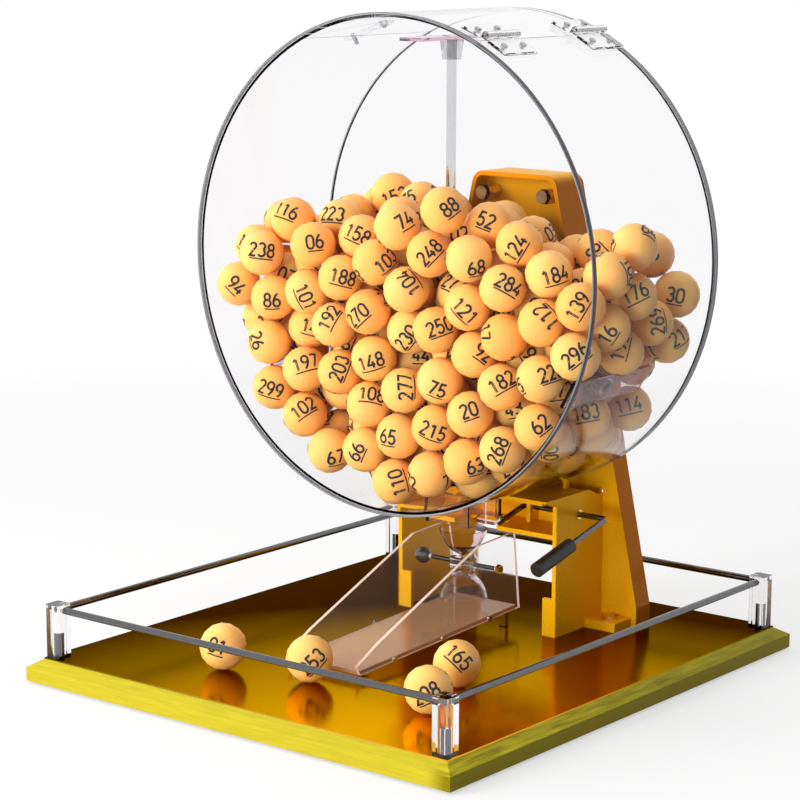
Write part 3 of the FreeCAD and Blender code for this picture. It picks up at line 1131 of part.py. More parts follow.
def stirrer_obstacles(reach):
    """A function that moves a ball's centre out of the shaft, the hub, the rods and the blades."""
    hub_low = value("shaft_front - drum_back_shift")
    hub_high = value(f"{HUB_BACK} - drum_back_shift")
    middle = (hub_low + hub_high) / 2
    hub_radius = value("hub_radius") + reach
    shaft_radius = value("shaft_radius") + reach
    rod = value("arm_radius") + reach
    collar = value("collar_wide") + reach
    collar_base = value("blade_radius - collar_length")
    blade_low = middle - value("blade_length") / 2
    blade_high = middle + value("blade_length") / 2
    blade_in = value("blade_radius")
    blade_out = blade_in + value("blade_thick")
    blade_half = value("blade_width") / 2
    spokes = [(math.cos(math.radians(a)), math.sin(math.radians(a))) for a in ARM_ANGLES]

    def clear(ball):
        x, y, z = ball
        away = math.hypot(x, z)
        limit = hub_radius if hub_low - reach < y < hub_high + reach else shaft_radius
        if away < limit and y > hub_low - reach:
            scale = limit / max(away, TINY)
            ball[0] *= scale
            ball[2] *= scale
        for ux, uz in spokes:
            out = ball[0] * ux + ball[2] * uz
            side = ball[2] * ux - ball[0] * uz
            if 0 < out < blade_out + reach:
                gap = math.hypot(side, ball[1] - middle)
                need = collar if out > collar_base - reach / 2 else rod
                if gap < need and out < blade_in:
                    scale = need / max(gap, TINY)
                    move = side * scale - side
                    ball[0] -= move * uz
                    ball[2] += move * ux
                    ball[1] = middle + (ball[1] - middle) * scale
            near_side = side - max(-blade_half, min(blade_half, side))
            near_y = ball[1] - max(blade_low, min(blade_high, ball[1]))
            near_out = min(out, blade_in - NUDGE) - blade_in
            gap = math.sqrt(near_side ** 2 + near_y ** 2 + near_out ** 2)
            if gap < reach and out > 0:
                grow = reach / gap - 1
                ball[0] += near_out * grow * ux - near_side * grow * uz
                ball[2] += near_out * grow * uz + near_side * grow * ux
                ball[1] += near_y * grow

    return clear


def build_balls():
    """Hollow balls piled in the drum, and the drawn balls that lie on the tray."""
    radius = value("ball_radius")
    ball = Part.makeSphere(radius).cut(Part.makeSphere(radius - value("ball_wall")))
    centre = Vector(0, value("drum_back_shift"), value(DRUM_Z))
    piled = [ball.translated(Vector(*spot) + centre) for spot in pile_centres()]
    pile = doc.addObject("Part::Feature", "pile")
    pile.Shape = Part.makeCompound(piled)
    keep(pile, "balls_in_drum")
    level = value(TABLE) + radius
    drawn = doc.addObject("Part::Feature", "drawn")
    front = value("chute_front")
    drawn.Shape = Part.makeCompound([ball.translated(Vector(x, front - ahead, level))
                                     for x, ahead in DRAWN_BALLS])
    keep(drawn, "drawn_balls")


# ---------------------------------------------------------------- build, check, write

def build_all():
    build_tray()
    build_stand()
    build_drum()
    build_door()
    build_spout()
    build_lever()
    build_chute()
    build_cup()
    build_stirrer()
    build_crank()
    build_balls()
    doc.recompute()


def check_all():
    """Stop on a failed object, a cut that cuts nothing, or a sub-part that isn't sound."""
    for thing in doc.Objects:
        if "Invalid" in thing.State or "Error" in thing.State:
            raise RuntimeError(f"{thing.Name} failed: {thing.State}")
        if thing.TypeId == "PartDesign::Pocket":
            before = thing.BaseFeature.Shape.Volume
            if thing.Shape.Volume > before - TINY:
                raise RuntimeError(f"{thing.Name} cuts nothing")
    for node in nodes:
        if node.Shape.isNull() or not node.Shape.isValid() or not node.Shape.Solids:
            raise RuntimeError(f"{node.Label} isn't a sound solid")


def write_all():
    os.makedirs("parts", exist_ok=True)
    for node in nodes:
        node.Shape.exportStep(f"parts/{node.Label}.step")
    print(f"{len(nodes)} sub-parts written")


build_all()
check_all()
write_all()
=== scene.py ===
"""Raffle drum with crank: numbered balls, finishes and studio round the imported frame."""

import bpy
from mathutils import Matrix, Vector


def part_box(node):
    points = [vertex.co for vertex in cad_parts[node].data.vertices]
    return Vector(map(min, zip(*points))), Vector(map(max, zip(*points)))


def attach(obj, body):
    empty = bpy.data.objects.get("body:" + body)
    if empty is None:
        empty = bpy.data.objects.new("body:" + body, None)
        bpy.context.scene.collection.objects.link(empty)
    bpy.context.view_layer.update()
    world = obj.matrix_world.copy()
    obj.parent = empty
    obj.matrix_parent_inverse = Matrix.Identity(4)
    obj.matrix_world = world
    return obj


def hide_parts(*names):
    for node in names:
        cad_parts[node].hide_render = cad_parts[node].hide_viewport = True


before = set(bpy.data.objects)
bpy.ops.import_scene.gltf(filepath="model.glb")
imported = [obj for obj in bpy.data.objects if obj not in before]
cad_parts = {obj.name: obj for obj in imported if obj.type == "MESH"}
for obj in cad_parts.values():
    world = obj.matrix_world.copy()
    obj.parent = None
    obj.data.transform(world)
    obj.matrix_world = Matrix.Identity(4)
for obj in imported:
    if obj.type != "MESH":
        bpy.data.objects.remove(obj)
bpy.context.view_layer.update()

import math

import bpy
import numpy as np
from bpy.props import FloatProperty, FloatVectorProperty, IntProperty, PointerProperty
from bpy.types import Operator, Panel, PropertyGroup
from mathutils import Matrix, Vector

bl_info = {
    "name": "Raffle Drum",
    "version": (1, 0, 0),
    "blender": (4, 5, 0),
    "location": "View3D > Sidebar > Raffle Drum",
    "description": "Numbered balls, finishes and studio for a hand raffle drum",
    "category": "Object",
}

MM = 0.001
DISC_LOW, DISC_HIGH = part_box("drum_front_disc")
DRUM_LEVEL = (DISC_LOW.z + DISC_HIGH.z) / 2
DRUM_RADIUS = (DISC_HIGH.x - DISC_LOW.x) / 2
BOARD_LOW, BOARD_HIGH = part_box("top_panel")
LEG_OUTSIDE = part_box("stand_leg_right")[1].x

# The balls on the tray from left to right: number, then turn, lift and roll of its print in
# degrees, and the ball's tone from 0, light, to 1, deep
DRAWN = (("01", -12, 4, -14, 0.1), ("253", 10, -4, 44, 0.2), ("165", 4, 22, -46, 0.3),
         ("208", -6, -6, 30, 0.2))

# The print on a ball, in digit heights
DIGIT_WIDTH = 0.5
PITCH = 0.7                 # from digit to digit
PRINT_MIDDLE = 0.45         # middle of the print over the digits' foot
UNDERLINE_LEVEL = -0.2
UNDERLINE_STROKE = 0.62     # as a share of a digit's stroke
PRINT_PLACES = 3            # prints round the middle of a ball
PRINTED_DIGITS = (2, 3)     # how many digits a number can have
BEND_STEPS = 9              # steps of a straight stroke that is one high

# Side and place of each square lamp, and where all of them point, in metres
LAMPS = {
    "key": (1.3, (-1.3, -2.1, 0.9)),
    "top": (1.6, (0.0, 0.2, 2.2)),
    "fill": (1.4, (2.0, -0.6, 0.9)),
    "front": (0.8, (0.25, -1.9, 0.16)),
}
LAMP_AIM = Vector((0, 0, 0.25))

FLOOR_RADIUS = 4
FLOOR_RINGS, FLOOR_SIDES = 24, 64
FLOOR_FADE = (0.75, 1.6)    # distance from the middle at which the floor fades out
SENSOR_WIDTH = 36           # millimetres, as the lens
NEAREST_SEEN = 0.05

# Spans of a value over which a mask goes from 0 to 1
WHOLE = (0, 1)
GRAIN = (0.3, 0.7)          # nearly all values of a noise
FLECK = (0.35, 0.65)        # the middle of a noise, for a harder speckle
SCUFF = (0.45, 0.75)        # the upper half of a noise
WORN = (0.55, 0.8)          # the highest spots of a noise
LEANS = (0.08, 0.16)        # Z of a normal: walls that lean, which take the stand's painted shade
FACES_RIGHT = (0.5, 0.9)    # X of a normal: faces to the right, which take the stand's painted shade
BEVELLED = (0.3, 0.6)       # Z of a normal: the board's bevel, which takes a painted highlight
SAWN = (0.8, 0.6)           # square of a normal's X: edges of a plate that faces sideways

# Sockets of a Mix node for each kind of data: first, second and result
MIX_SOCKETS = {"RGBA": (6, 7, 2), "FLOAT": (2, 3, 0)}


# ---------------------------------------------------------------- sizes and colours

def colour(name, note, default):
    """A colour property in linear light."""
    return FloatVectorProperty(name=name, description=note, default=default, subtype="COLOR",
                               size=3, min=0, max=1)


def length(name, note, default):
    """A length property in metres."""
    return FloatProperty(name=name, description=note, default=default, unit="LENGTH", min=0,
                         precision=4)


def angle(name, note, default):
    """An angle property, given in degrees."""
    return FloatProperty(name=name, description=note, default=math.radians(default),
                         subtype="ANGLE")


class BallSizes(PropertyGroup):
    """Balls, their print, and how the prints of the balls in the drum face the eye"""
    digit_height: length("Digit height", "Height of a printed digit", 12 * MM)
    stroke: length("Stroke", "Width of a printed stroke", 2 * MM)
    ink_lift: length("Ink lift", "How far the print stands off the ball", 0.16 * MM)
    cells: IntProperty(name="Cells", description="Cells along each of a ball's six squares",
                       default=4, min=2, max=12)
    highest: IntProperty(name="Highest number", description="No less than there are balls",
                         default=300, min=230, max=999)
    seed: IntProperty(name="Seed", description="Seed of the numbers' order and turns", default=7)
    turn_spread: angle("Turn spread", "Spread of the prints to the sides", 15)
    lift_spread: angle("Lift spread", "Spread of the prints up and down", 13)
    slant: angle("Slant", "Middle of the numbers' slants", 18)
    slant_spread: angle("Slant spread", "Spread of the numbers' slants", 46)
    away_turn: angle("Away turn", "Turn of a ball whose print looks away", 60)
    away_share: FloatProperty(name="Away share", description="Share of prints that look away",
                              default=0.12, min=0, max=1, subtype="FACTOR")
    light: colour("Light ball", "Colour of the palest balls", (1.0, 0.56, 0.17))
    deep: colour("Deep ball", "Colour of the deepest balls", (1.0, 0.46, 0.11))
    ink: colour("Ink", "Colour of the print", (0.012, 0.010, 0.010))


class FinishColours(PropertyGroup):
    """Colours of the board, the stand, the clear pieces, the metal and the grips"""
    board: colour("Board edge", "Gold foil of the board's edge", (0.54, 0.45, 0.025))
    # Painted shade for the board's right side
    board_side_shade: colour("Board side", "Deeper foil of the board's right side", (0.24, 0.19, 0.004))
    # Painted highlight on the bevel of the board's right side, brighter at the front and fading to
    # the rear
    bevel: colour("Board bevel", "Bevel on the board's right side", (0.48, 0.41, 0.02))
    # Painted reflection: the panel runs from orange at its front corner to dark olive at its rear,
    # and its tint at a low angle of view follows
    panel_front_reflection: colour("Panel front", "Glossy panel at its front corner", (0.90, 0.455, 0.055))
    panel_rear_reflection: colour("Panel rear", "Glossy panel at its rear", (0.13, 0.10, 0.006))
    glance_front_reflection: colour("Glance front", "Panel's front corner at a low angle of view",
                         (1.0, 0.75, 0.12))
    glance_rear_reflection: colour("Glance rear", "Panel's rear at a low angle of view", (0.3, 0.25, 0.02))
    stand: colour("Stand", "Gold lacquer of the cast stand", (0.88, 0.43, 0.006))
    # Painted shade: this deeper colour darkens the stand's right side
    stand_side_shade: colour("Stand side", "Deeper lacquer of the stand's right side",
                       (0.46, 0.13, 0.002))
    clear: colour("Clear plastic", "Tint of the clear plastic", (0.972, 0.968, 0.974))
    # Partly the acrylic's own tint, partly painted shade: a dark band for how refraction darkens
    # the discs' edges
    rim: colour("Drum rim", "Smoky edge of the drum's discs", (0.20, 0.19, 0.21))
    duct: colour("Duct", "Tint of the spout, its tongue and the cup", (0.90, 0.80, 0.82))
    chute: colour("Chute", "Smoky floor of the chute", (0.95, 0.66, 0.40))
    arm: colour("Arms", "Clear rods that carry the blades", (0.68, 0.68, 0.70))
    chute_edge: colour("Chute edge", "Sawn edges of the chute's side plates", (0.80, 0.62, 0.52))
    blade: colour("Blade", "Tint of the stirring blades", (0.74, 0.52, 0.60))
    # Painted reflection: this dark grey stands in for the dark surroundings that polished chrome
    # mirrors
    chrome: colour("Rods", "Polished rods and rails", (0.15, 0.15, 0.158))
    steel: colour("Screws", "Screws, pins and hub", (0.45, 0.45, 0.46))
    brass: colour("Brass", "Bushes, spacers and nuts", (0.72, 0.50, 0.18))
    grip: colour("Grips", "Black grips", (0.012, 0.011, 0.010))
    rubber: colour("Feet", "Rubber feet", (0.02, 0.02, 0.02))


class StageSizes(PropertyGroup):
    """Camera, lamps and floor"""
    azimuth: angle("Azimuth", "Camera's turn round the object", 38.4457)
    elevation: angle("Elevation", "Camera's height above the horizon", 10.657)
    roll: angle("Roll", "Camera's roll", 0.1719)
    lens: FloatProperty(name="Lens", description="Focal length", default=115.097, unit="CAMERA")
    distance: length("Distance", "From the aim to the camera", 2.192)
    aim: FloatVectorProperty(name="Aim", description="Where the camera points",
                             default=(-0.00774, -0.01545, 0.23813), subtype="TRANSLATION")
    key: FloatProperty(name="Key", description="Key light", default=63, unit="POWER")
    top: FloatProperty(name="Top", description="Top light", default=18, unit="POWER")
    fill: FloatProperty(name="Fill", description="Fill light", default=0.2, unit="POWER")
    front: FloatProperty(name="Front", description="Low front light", default=28, unit="POWER")
    ambient: FloatProperty(name="Ambient", description="Soft light from the lamps' side",
                           default=1.1)
    shade: FloatProperty(name="Shade", description="Soft light from the far side", default=0.2)
    floor: colour("Floor", "Pale floor", (0.34, 0.34, 0.34))
    floor_glow: FloatProperty(name="Floor lift", description="Lifts the floor to white",
                              default=0.55)


# ---------------------------------------------------------------- node helpers

class Recipe:
    """The nodes of a material or of the world, added and linked by short calls."""

    def __init__(self, owner, output="OutputMaterial"):
        owner.use_nodes = True
        self.owner = owner
        self.tree = owner.node_tree
        self.tree.nodes.clear()
        self.output = self.add(output)

    def add(self, kind, **settings):
        """A new node of a kind, with its own settings."""
        node = self.tree.nodes.new("ShaderNode" + kind)
        for key, setting in settings.items():
            setattr(node, key, setting)
        return node

    def feed(self, source, socket):
        """Link another node's socket, or set a number, a vector or a colour."""
        if isinstance(source, bpy.types.NodeSocket):
            self.tree.links.new(source, socket)
        elif socket.type == "RGBA":
            socket.default_value = (*source, 1)
        else:
            socket.default_value = source

    def fill(self, node, **sources):
        """Feed the sockets that the keywords name in lower case."""
        for key, source in sources.items():
            title = key.replace("_", " ").title().replace("Ior", "IOR")
            self.feed(source, node.inputs[title])
        return node

    def principled(self, tint, roughness, **sources):
        """A Principled shader with plain values, which fill can overlay with a pattern."""
        shader = self.add("BsdfPrincipled")
        return self.fill(shader, base_color=tint, roughness=roughness, **sources)

    def place(self):
        """Coordinates of the piece itself, in metres."""
        return self.add("TexCoord").outputs["Object"]

    def facing(self):
        """The direction in which the surface of the piece faces."""
        return self.add("TexCoord").outputs["Normal"]

    def split(self, vector):
        """The X, Y and Z of a vector."""
        parts = self.add("SeparateXYZ")
        self.feed(vector, parts.inputs[0])
        return parts.outputs

    def vector(self, operation, *terms):
        """A number worked out from vectors."""
        node = self.add("VectorMath", operation=operation)
        for term, socket in zip(terms, node.inputs):
            self.feed(term, socket)
        return node.outputs["Value"]

    def math(self, operation, *terms, clamp=False):
        """A number worked out from numbers."""
        node = self.add("Math", operation=operation, use_clamp=clamp)
        for term, socket in zip(terms, node.inputs):
            self.feed(term, socket)
        return node.outputs[0]

    def noise(self, scale, detail=3.0, stretch=(1, 1, 1)):
        """An even noise, with its scale in grains per metre."""
        mapping = self.add("Mapping")
        self.fill(mapping, vector=self.place(), scale=stretch)
        grain = self.add("TexNoise")
        self.fill(grain, vector=mapping.outputs["Vector"], scale=scale, detail=detail)
        return grain.outputs["Fac"]

    def spread(self, source, span, result=WHOLE):
        """Map a value from one span to another, and hold it at the ends."""
        node = self.add("MapRange")
        for setting, socket in zip((source, *span, *result), node.inputs):
            self.feed(setting, socket)
        return node.outputs[0]

    def blend(self, factor, first, second, kind="RGBA"):
        """Mix two colours, or two numbers where the kind is FLOAT, by a factor."""
        mix = self.add("Mix", data_type=kind)
        start, end, result = MIX_SOCKETS[kind]
        self.feed(factor, mix.inputs[0])
        self.feed(first, mix.inputs[start])
        self.feed(second, mix.inputs[end])
        return mix.outputs[result]

    def bump(self, shader, height, strength, distance):
        """Let a pattern roughen the surface as if it stood out by a distance."""
        relief = self.add("Bump")
        self.fill(relief, height=height, strength=strength, distance=distance)
        self.fill(shader, normal=relief.outputs["Normal"])

    def seen_rays(self):
        """1 for what the camera sees, also in glass and metal, but not for light that a dull
        surface gathers."""
        path = self.add("LightPath").outputs
        seen = path["Is Camera Ray"]
        for kind in ("Is Glossy Ray", "Is Transmission Ray"):
            seen = self.math("ADD", seen, path[kind], clamp=True)
        return self.math("SUBTRACT", seen, path["Diffuse Depth"], clamp=True)

    def join(self, kind, *sources):
        """A Mix or Add shader of the sources in their order."""
        shader = self.add(kind)
        for source, socket in zip(sources, shader.inputs):
            self.feed(source, socket)
        return shader

    def finish(self, shader):
        """Close the recipe and give the material or the world that it makes."""
        self.fill(self.output, surface=shader.outputs[0])
        return self.owner

    def finish_clear(self, shader, lamp_tint):
        """Glass that lets the lamps' light through, tinted."""
        through = self.fill(self.add("BsdfTransparent"), color=lamp_tint)
        shadow = self.add("LightPath").outputs["Is Shadow Ray"]
        return self.finish(self.join("MixShader", shadow, shader.outputs[0],
                                     through.outputs[0]))


def new_recipe(name):
    """An empty recipe for a new material."""
    return Recipe(bpy.data.materials.new(name))


def scaled(tint, share):
    """A tint made darker or lighter, up to full."""
    return tuple(min(channel * share, 1) for channel in tint)


def dress(material, *names):
    """Put a material on whole CAD nodes."""
    for name in names:
        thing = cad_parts[name]
        if not thing.data.materials:
            thing.data.materials.append(material)
        for slot in thing.material_slots:
            slot.material = material


# ---------------------------------------------------------------- materials

def lacquered_gold(name, tint, deep, roughness, speckle):
    """Gold lacquer over cast metal: a fine speckle in the colour and a soft orange peel. The
    outer wall on the right, which leans above its foot, is darkened by painted shade."""
    dull, bright, sheen = 0.94, 1.05, 1.2
    foot = (LEG_OUTSIDE - 7.5 * MM, LEG_OUTSIDE - 3.5 * MM)
    shine = (roughness - 0.06, roughness + 0.08)
    recipe = new_recipe(name)
    shader = recipe.principled(tint, roughness, metallic=0.2, specular_ior_level=0.15,
                               specular_tint=scaled(tint, sheen))
    right, _, up = recipe.split(recipe.facing())
    across = recipe.split(recipe.place())[0]
    # Painted shade: faces to the right on the outer wall, where it leans or at the leg's outside,
    # blend to the deeper colour
    wall = recipe.math("MAXIMUM", recipe.spread(up, LEANS), recipe.spread(across, foot))
    outer = recipe.math("MULTIPLY", recipe.spread(right, FACES_RIGHT), wall)
    low, high = (recipe.blend(outer, scaled(tint, share), scaled(deep, share))
                 for share in (dull, bright))
    fleck = recipe.spread(recipe.noise(speckle, detail=4), FLECK)
    recipe.fill(shader, base_color=recipe.blend(fleck, low, high),
                roughness=recipe.spread(recipe.noise(speckle / 6), GRAIN, shine))
    recipe.bump(shader, recipe.noise(speckle * 2), strength=0.25, distance=0.2 * MM)
    return recipe.finish(shader)


def brushed_edge(name, tint, deep, bevel):
    """The board's gold foil: long faint streaks along each side. The right side is darkened
    by painted shade, and its bevel carries a painted highlight that fades to the rear."""
    worn_share, near_glint, far_glint, sheen = 0.82, 1.25, 0.65, 1.6
    shaded_right_side = (BOARD_HIGH.x - 10 * MM, BOARD_HIGH.x + 6 * MM)
    recipe = new_recipe(name)
    shader = recipe.principled(tint, roughness=0.36, metallic=0.3, specular_ior_level=0.2,
                               specular_tint=scaled(tint, sheen))
    across, back, _ = recipe.split(recipe.place())
    # Painted shade on the right side, and a painted highlight on its bevel, brighter at the front
    # and dimmer at the rear
    side = recipe.spread(across, shaded_right_side)
    rearwards = recipe.spread(back, (BOARD_LOW.y, BOARD_HIGH.y))
    glint = recipe.blend(rearwards, scaled(bevel, near_glint), scaled(bevel, far_glint))
    slope = recipe.spread(recipe.split(recipe.facing())[2], BEVELLED)
    foil = recipe.blend(side, tint, recipe.blend(slope, deep, glint))
    # The darker streaks take the same painted shade on the right side
    worn = recipe.blend(side, scaled(tint, worn_share), scaled(deep, worn_share))
    streaks = recipe.noise(220, detail=5, stretch=(0.15, 0.15, 3))
    recipe.fill(shader, base_color=recipe.blend(recipe.spread(streaks, GRAIN), worn, foil),
                roughness=recipe.spread(streaks, GRAIN, (0.3, 0.44)))
    recipe.bump(shader, recipe.noise(900), strength=0.2, distance=0.1 * MM)
    return recipe.finish(shader)


def mirror_panel(name, tints, corner):
    """The glossy top panel, with a painted reflection: orange at one front corner, dark olive far
    away from it. The tint at a low angle of view follows the same painted reflection."""
    near_to_far = (0.10, 0.47)
    mottle = 0.1
    recipe = new_recipe(name)
    shader = recipe.principled(tints.panel_front_reflection, roughness=0.16, metallic=1.0)
    # Painted reflection: colour by distance from the front corner, softened by a faint mottle
    reflection_falloff = recipe.spread(recipe.vector("DISTANCE", recipe.place(), corner), near_to_far)
    soft = recipe.math("MULTIPLY_ADD", recipe.noise(6, detail=2), mottle, reflection_falloff, clamp=True)
    sheen = recipe.spread(recipe.noise(40, detail=4), GRAIN, (0.14, 0.2))
    recipe.fill(shader, base_color=recipe.blend(soft, tints.panel_front_reflection, tints.panel_rear_reflection),
                specular_tint=recipe.blend(soft, tints.glance_front_reflection, tints.glance_rear_reflection),
                roughness=sheen)
    return recipe.finish(shader)


def reach_from_axis(recipe):
    """Distance from the drum's axis, which runs along Y."""
    across, _, height = recipe.split(recipe.place())
    flat = recipe.add("CombineXYZ")
    recipe.fill(flat, x=across, z=recipe.math("SUBTRACT", height, DRUM_LEVEL))
    return recipe.vector("LENGTH", flat.outputs[0])


def clear_plastic(name, tint, roughness=0.0, index=1.49, clarity=1.0, rim=None):
    """Polished acrylic with faint scuffs. With a rim colour, the outermost band round the
    drum's axis takes that colour and is nearly opaque: partly the acrylic's tint, partly
    painted shade for the dark edges that refraction gives the discs."""
    rim_band = (DRUM_RADIUS - 1.6 * MM, DRUM_RADIUS - 0.8 * MM)
    rim_clarity, scuffing, shadow_share = 0.35, 0.03, 1.02
    recipe = new_recipe(name)
    shader = recipe.principled(tint, roughness, transmission_weight=clarity, ior=index)
    if rim is not None:
        # The rim band paints the discs' dark edges: partly tint, partly painted shade
        edge = recipe.spread(reach_from_axis(recipe), rim_band)
        recipe.fill(shader, base_color=recipe.blend(edge, tint, rim),
                    transmission_weight=recipe.spread(edge, WHOLE, (clarity, rim_clarity)))
    scuffs = recipe.noise(25, detail=5)
    recipe.fill(shader,
                roughness=recipe.spread(scuffs, SCUFF, (roughness, roughness + scuffing)))
    return recipe.finish_clear(shader, scaled(tint, shadow_share))


def chute_plastic(name, tint, clarity, edge):
    """A plate that faces sideways, with a faint milky haze; its sawn edges are nearly opaque."""
    edge_clarity, shadow_share = 0.15, 0.9
    recipe = new_recipe(name)
    shader = recipe.principled(tint, roughness=0.08, ior=1.12, transmission_weight=clarity)
    across = recipe.split(recipe.facing())[0]
    sawn = recipe.spread(recipe.math("MULTIPLY", across, across), SAWN)
    recipe.fill(shader, base_color=recipe.blend(sawn, tint, edge),
                transmission_weight=recipe.spread(sawn, WHOLE, (clarity, edge_clarity)),
                roughness=recipe.spread(recipe.noise(60, detail=4), GRAIN, (0.05, 0.14)))
    return recipe.finish_clear(shader, scaled(tint, shadow_share))


def polished_metal(name, tint, roughness):
    """Polished or plated metal with faint marks in its colour and its shine."""
    dull, bright = scaled(tint, 0.85), scaled(tint, 1.1)
    shine = (roughness * 0.7, roughness * 1.4)
    recipe = new_recipe(name)
    shader = recipe.principled(tint, roughness, metallic=1.0)
    marks = recipe.noise(600)
    recipe.fill(shader, base_color=recipe.blend(recipe.spread(marks, GRAIN), dull, bright),
                roughness=recipe.spread(marks, GRAIN, shine))
    return recipe.finish(shader)


def moulded_black(name, tint, roughness):
    """Moulded rubber or plastic with a fine grain."""
    shine = (roughness - 0.08, roughness + 0.1)
    recipe = new_recipe(name)
    shader = recipe.principled(tint, roughness)
    recipe.fill(shader, roughness=recipe.spread(recipe.noise(300), GRAIN, shine))
    recipe.bump(shader, recipe.noise(2500), strength=0.35, distance=0.1 * MM)
    return recipe.finish(shader)


def ball_plastic(name, light, deep):
    """Satin celluloid; every ball has its own tone, read from the mesh."""
    recipe = new_recipe(name)
    shader = recipe.principled(light, roughness=0.42, specular_ior_level=0.4,
                               subsurface_weight=0.8, subsurface_scale=20 * MM,
                               subsurface_radius=(1.0, 0.32, 0.1))
    tone = recipe.add("Attribute", attribute_name="tone").outputs["Fac"]
    recipe.fill(shader, base_color=recipe.blend(tone, light, deep),
                roughness=recipe.spread(recipe.noise(180), GRAIN, (0.33, 0.45)))
    recipe.bump(shader, recipe.noise(1200, detail=2), strength=0.12, distance=0.1 * MM)
    return recipe.finish(shader)


def printing_ink(name, tint):
    """Black print, slightly worn."""
    faded = scaled(tint, 4)
    recipe = new_recipe(name)
    shader = recipe.principled(tint, roughness=0.5)
    worn = recipe.spread(recipe.noise(900, detail=4), WORN)
    recipe.fill(shader, base_color=recipe.blend(worn, tint, faded))
    return recipe.finish(shader)


def once(maker, name, *tints):
    """The material of this name, made at the first call."""
    return bpy.data.materials.get(name) or maker(name, *tints)


# ---------------------------------------------------------------- meshes

def skin(name, points, quads, material, smooth=True):
    """A mesh object from whole arrays of points and four-cornered faces."""
    mesh = bpy.data.meshes.new(name)
    mesh.vertices.add(len(points))
    mesh.vertices.foreach_set("co", np.asarray(points, np.float32).ravel())
    mesh.loops.add(quads.size)
    mesh.loops.foreach_set("vertex_index", quads.ravel().astype(np.int32))
    mesh.polygons.add(len(quads))
    mesh.polygons.foreach_set("loop_start", np.arange(len(quads), dtype=np.int32) * 4)
    mesh.polygons.foreach_set("use_smooth", np.full(len(quads), smooth))
    mesh.update(calc_edges=True)
    mesh.validate()
    mesh.materials.append(material)
    thing = bpy.data.objects.new(name, mesh)
    bpy.context.scene.collection.objects.link(thing)
    return thing


def ball_skin(cells):
    """A unit sphere of six curved squares: on each, a point is (1, tan(s), tan(t)) made one
    long, with s and t from -45 to 45 degrees. Shared borders are merged."""
    grid = np.tan(np.linspace(-math.pi / 4, math.pi / 4, cells + 1))
    across, up = np.meshgrid(grid, grid, indexing="ij")
    sheet = np.stack([np.ones_like(across), across, up], -1).reshape(-1, 3)
    sheet /= np.linalg.norm(sheet, axis=1, keepdims=True)
    turns = ([(1, 0, 0), (0, 1, 0), (0, 0, 1)], [(-1, 0, 0), (0, -1, 0), (0, 0, 1)],
             [(0, 1, 0), (-1, 0, 0), (0, 0, 1)], [(0, -1, 0), (1, 0, 0), (0, 0, 1)],
             [(0, 0, 1), (0, 1, 0), (-1, 0, 0)], [(0, 0, -1), (0, 1, 0), (1, 0, 0)])
    points = np.concatenate([sheet @ np.array(turn, float) for turn in turns])
    corner = (np.arange(cells)[:, None] * (cells + 1) + np.arange(cells)).reshape(-1, 1)
    square = corner + np.array([0, cells + 1, cells + 2, 1])
    quads = np.concatenate([square + side * len(sheet) for side in range(len(turns))])
    merged, order = np.unique(np.round(points, decimals=6), axis=0, return_inverse=True)
    return merged / np.linalg.norm(merged, axis=1, keepdims=True), order.reshape(-1)[quads]


def run(*corners):
    """A straight or cornered stroke, with points close enough to bend round a ball."""
    corners = np.array(corners, float)
    legs = [np.linspace(a, b, int(np.ceil(np.hypot(*(b - a)) * BEND_STEPS)) + 1)
            for a, b in zip(corners[:-1], corners[1:])]
    return chained(*legs)


def bow(centre, radii, start, end, steps=11):
    """Part of an ellipse: centre + radii * (cos t, sin t), t in degrees."""
    turn = np.radians(np.linspace(start, end, steps))
    return np.array(centre) + np.array(radii) * np.stack([np.cos(turn), np.sin(turn)], 1)


def chained(*pieces):
    """Pieces of a stroke in a row, each without the point that it shares with the last."""
    return np.concatenate([pieces[0]] + [piece[1:] for piece in pieces[1:]])


def digit_strokes():
    """The middle lines of the ten digits, one high, half wide, in a plain engineer's hand."""
    ring = chained(bow((0.25, 0.7), (0.25, 0.3), 0, 180), run((0, 0.7), (0, 0.3)),
                   bow((0.25, 0.3), (0.25, 0.3), 180, 360), run((0.5, 0.3), (0.5, 0.7)))
    six = [bow((0.25, 0.28), (0.25, 0.28), 0, 360, 17),
           chained(bow((0.62, 0.24), (0.615, 0.86), 118, 172, 7))]
    nine = [np.array((0.5, 1.0)) - stroke for stroke in six]
    return {
        "0": [ring],
        "1": [run((0.06, 0.78), (0.3, 1), (0.3, 0))],
        "2": [chained(bow((0.25, 0.74), (0.24, 0.26), 165, -28), run((0.462, 0.618), (0.01, 0)),
                      run((0.01, 0), (0.5, 0)))],
        "3": [chained(bow((0.24, 0.755), (0.23, 0.245), 155, -90),
                      bow((0.24, 0.255), (0.26, 0.255), 90, -155))],
        "4": [run((0.36, 1), (0, 0.26), (0.54, 0.26)), run((0.38, 0.5), (0.38, 0))],
        "5": [chained(run((0.46, 1), (0.08, 1), (0.05, 0.54)),
                      bow((0.235, 0.305), (0.255, 0.305), 130, -152, 11))],
        "6": six,
        "7": [run((0, 1), (0.5, 1), (0.16, 0))],
        "8": [bow((0.25, 0.755), (0.215, 0.245), -90, 270, 15),
              bow((0.25, 0.265), (0.25, 0.265), 90, 450, 17)],
        "9": nine,
    }


def ribbon(line, width):
    """Two rows of points, half a width to each side of a line, mitred at its corners."""
    legs = np.diff(line, axis=0)
    legs /= np.linalg.norm(legs, axis=1, keepdims=True)
    closed = np.allclose(line[0], line[-1])
    before = np.concatenate([legs[-1:] if closed else legs[:1], legs])
    after = np.concatenate([legs, legs[:1] if closed else legs[-1:]])
    side = np.stack([-(before + after)[:, 1], (before + after)[:, 0]], 1)
    side /= 1 + np.sum(before * after, axis=1, keepdims=True)
    return line + side * width / 2, line - side * width / 2


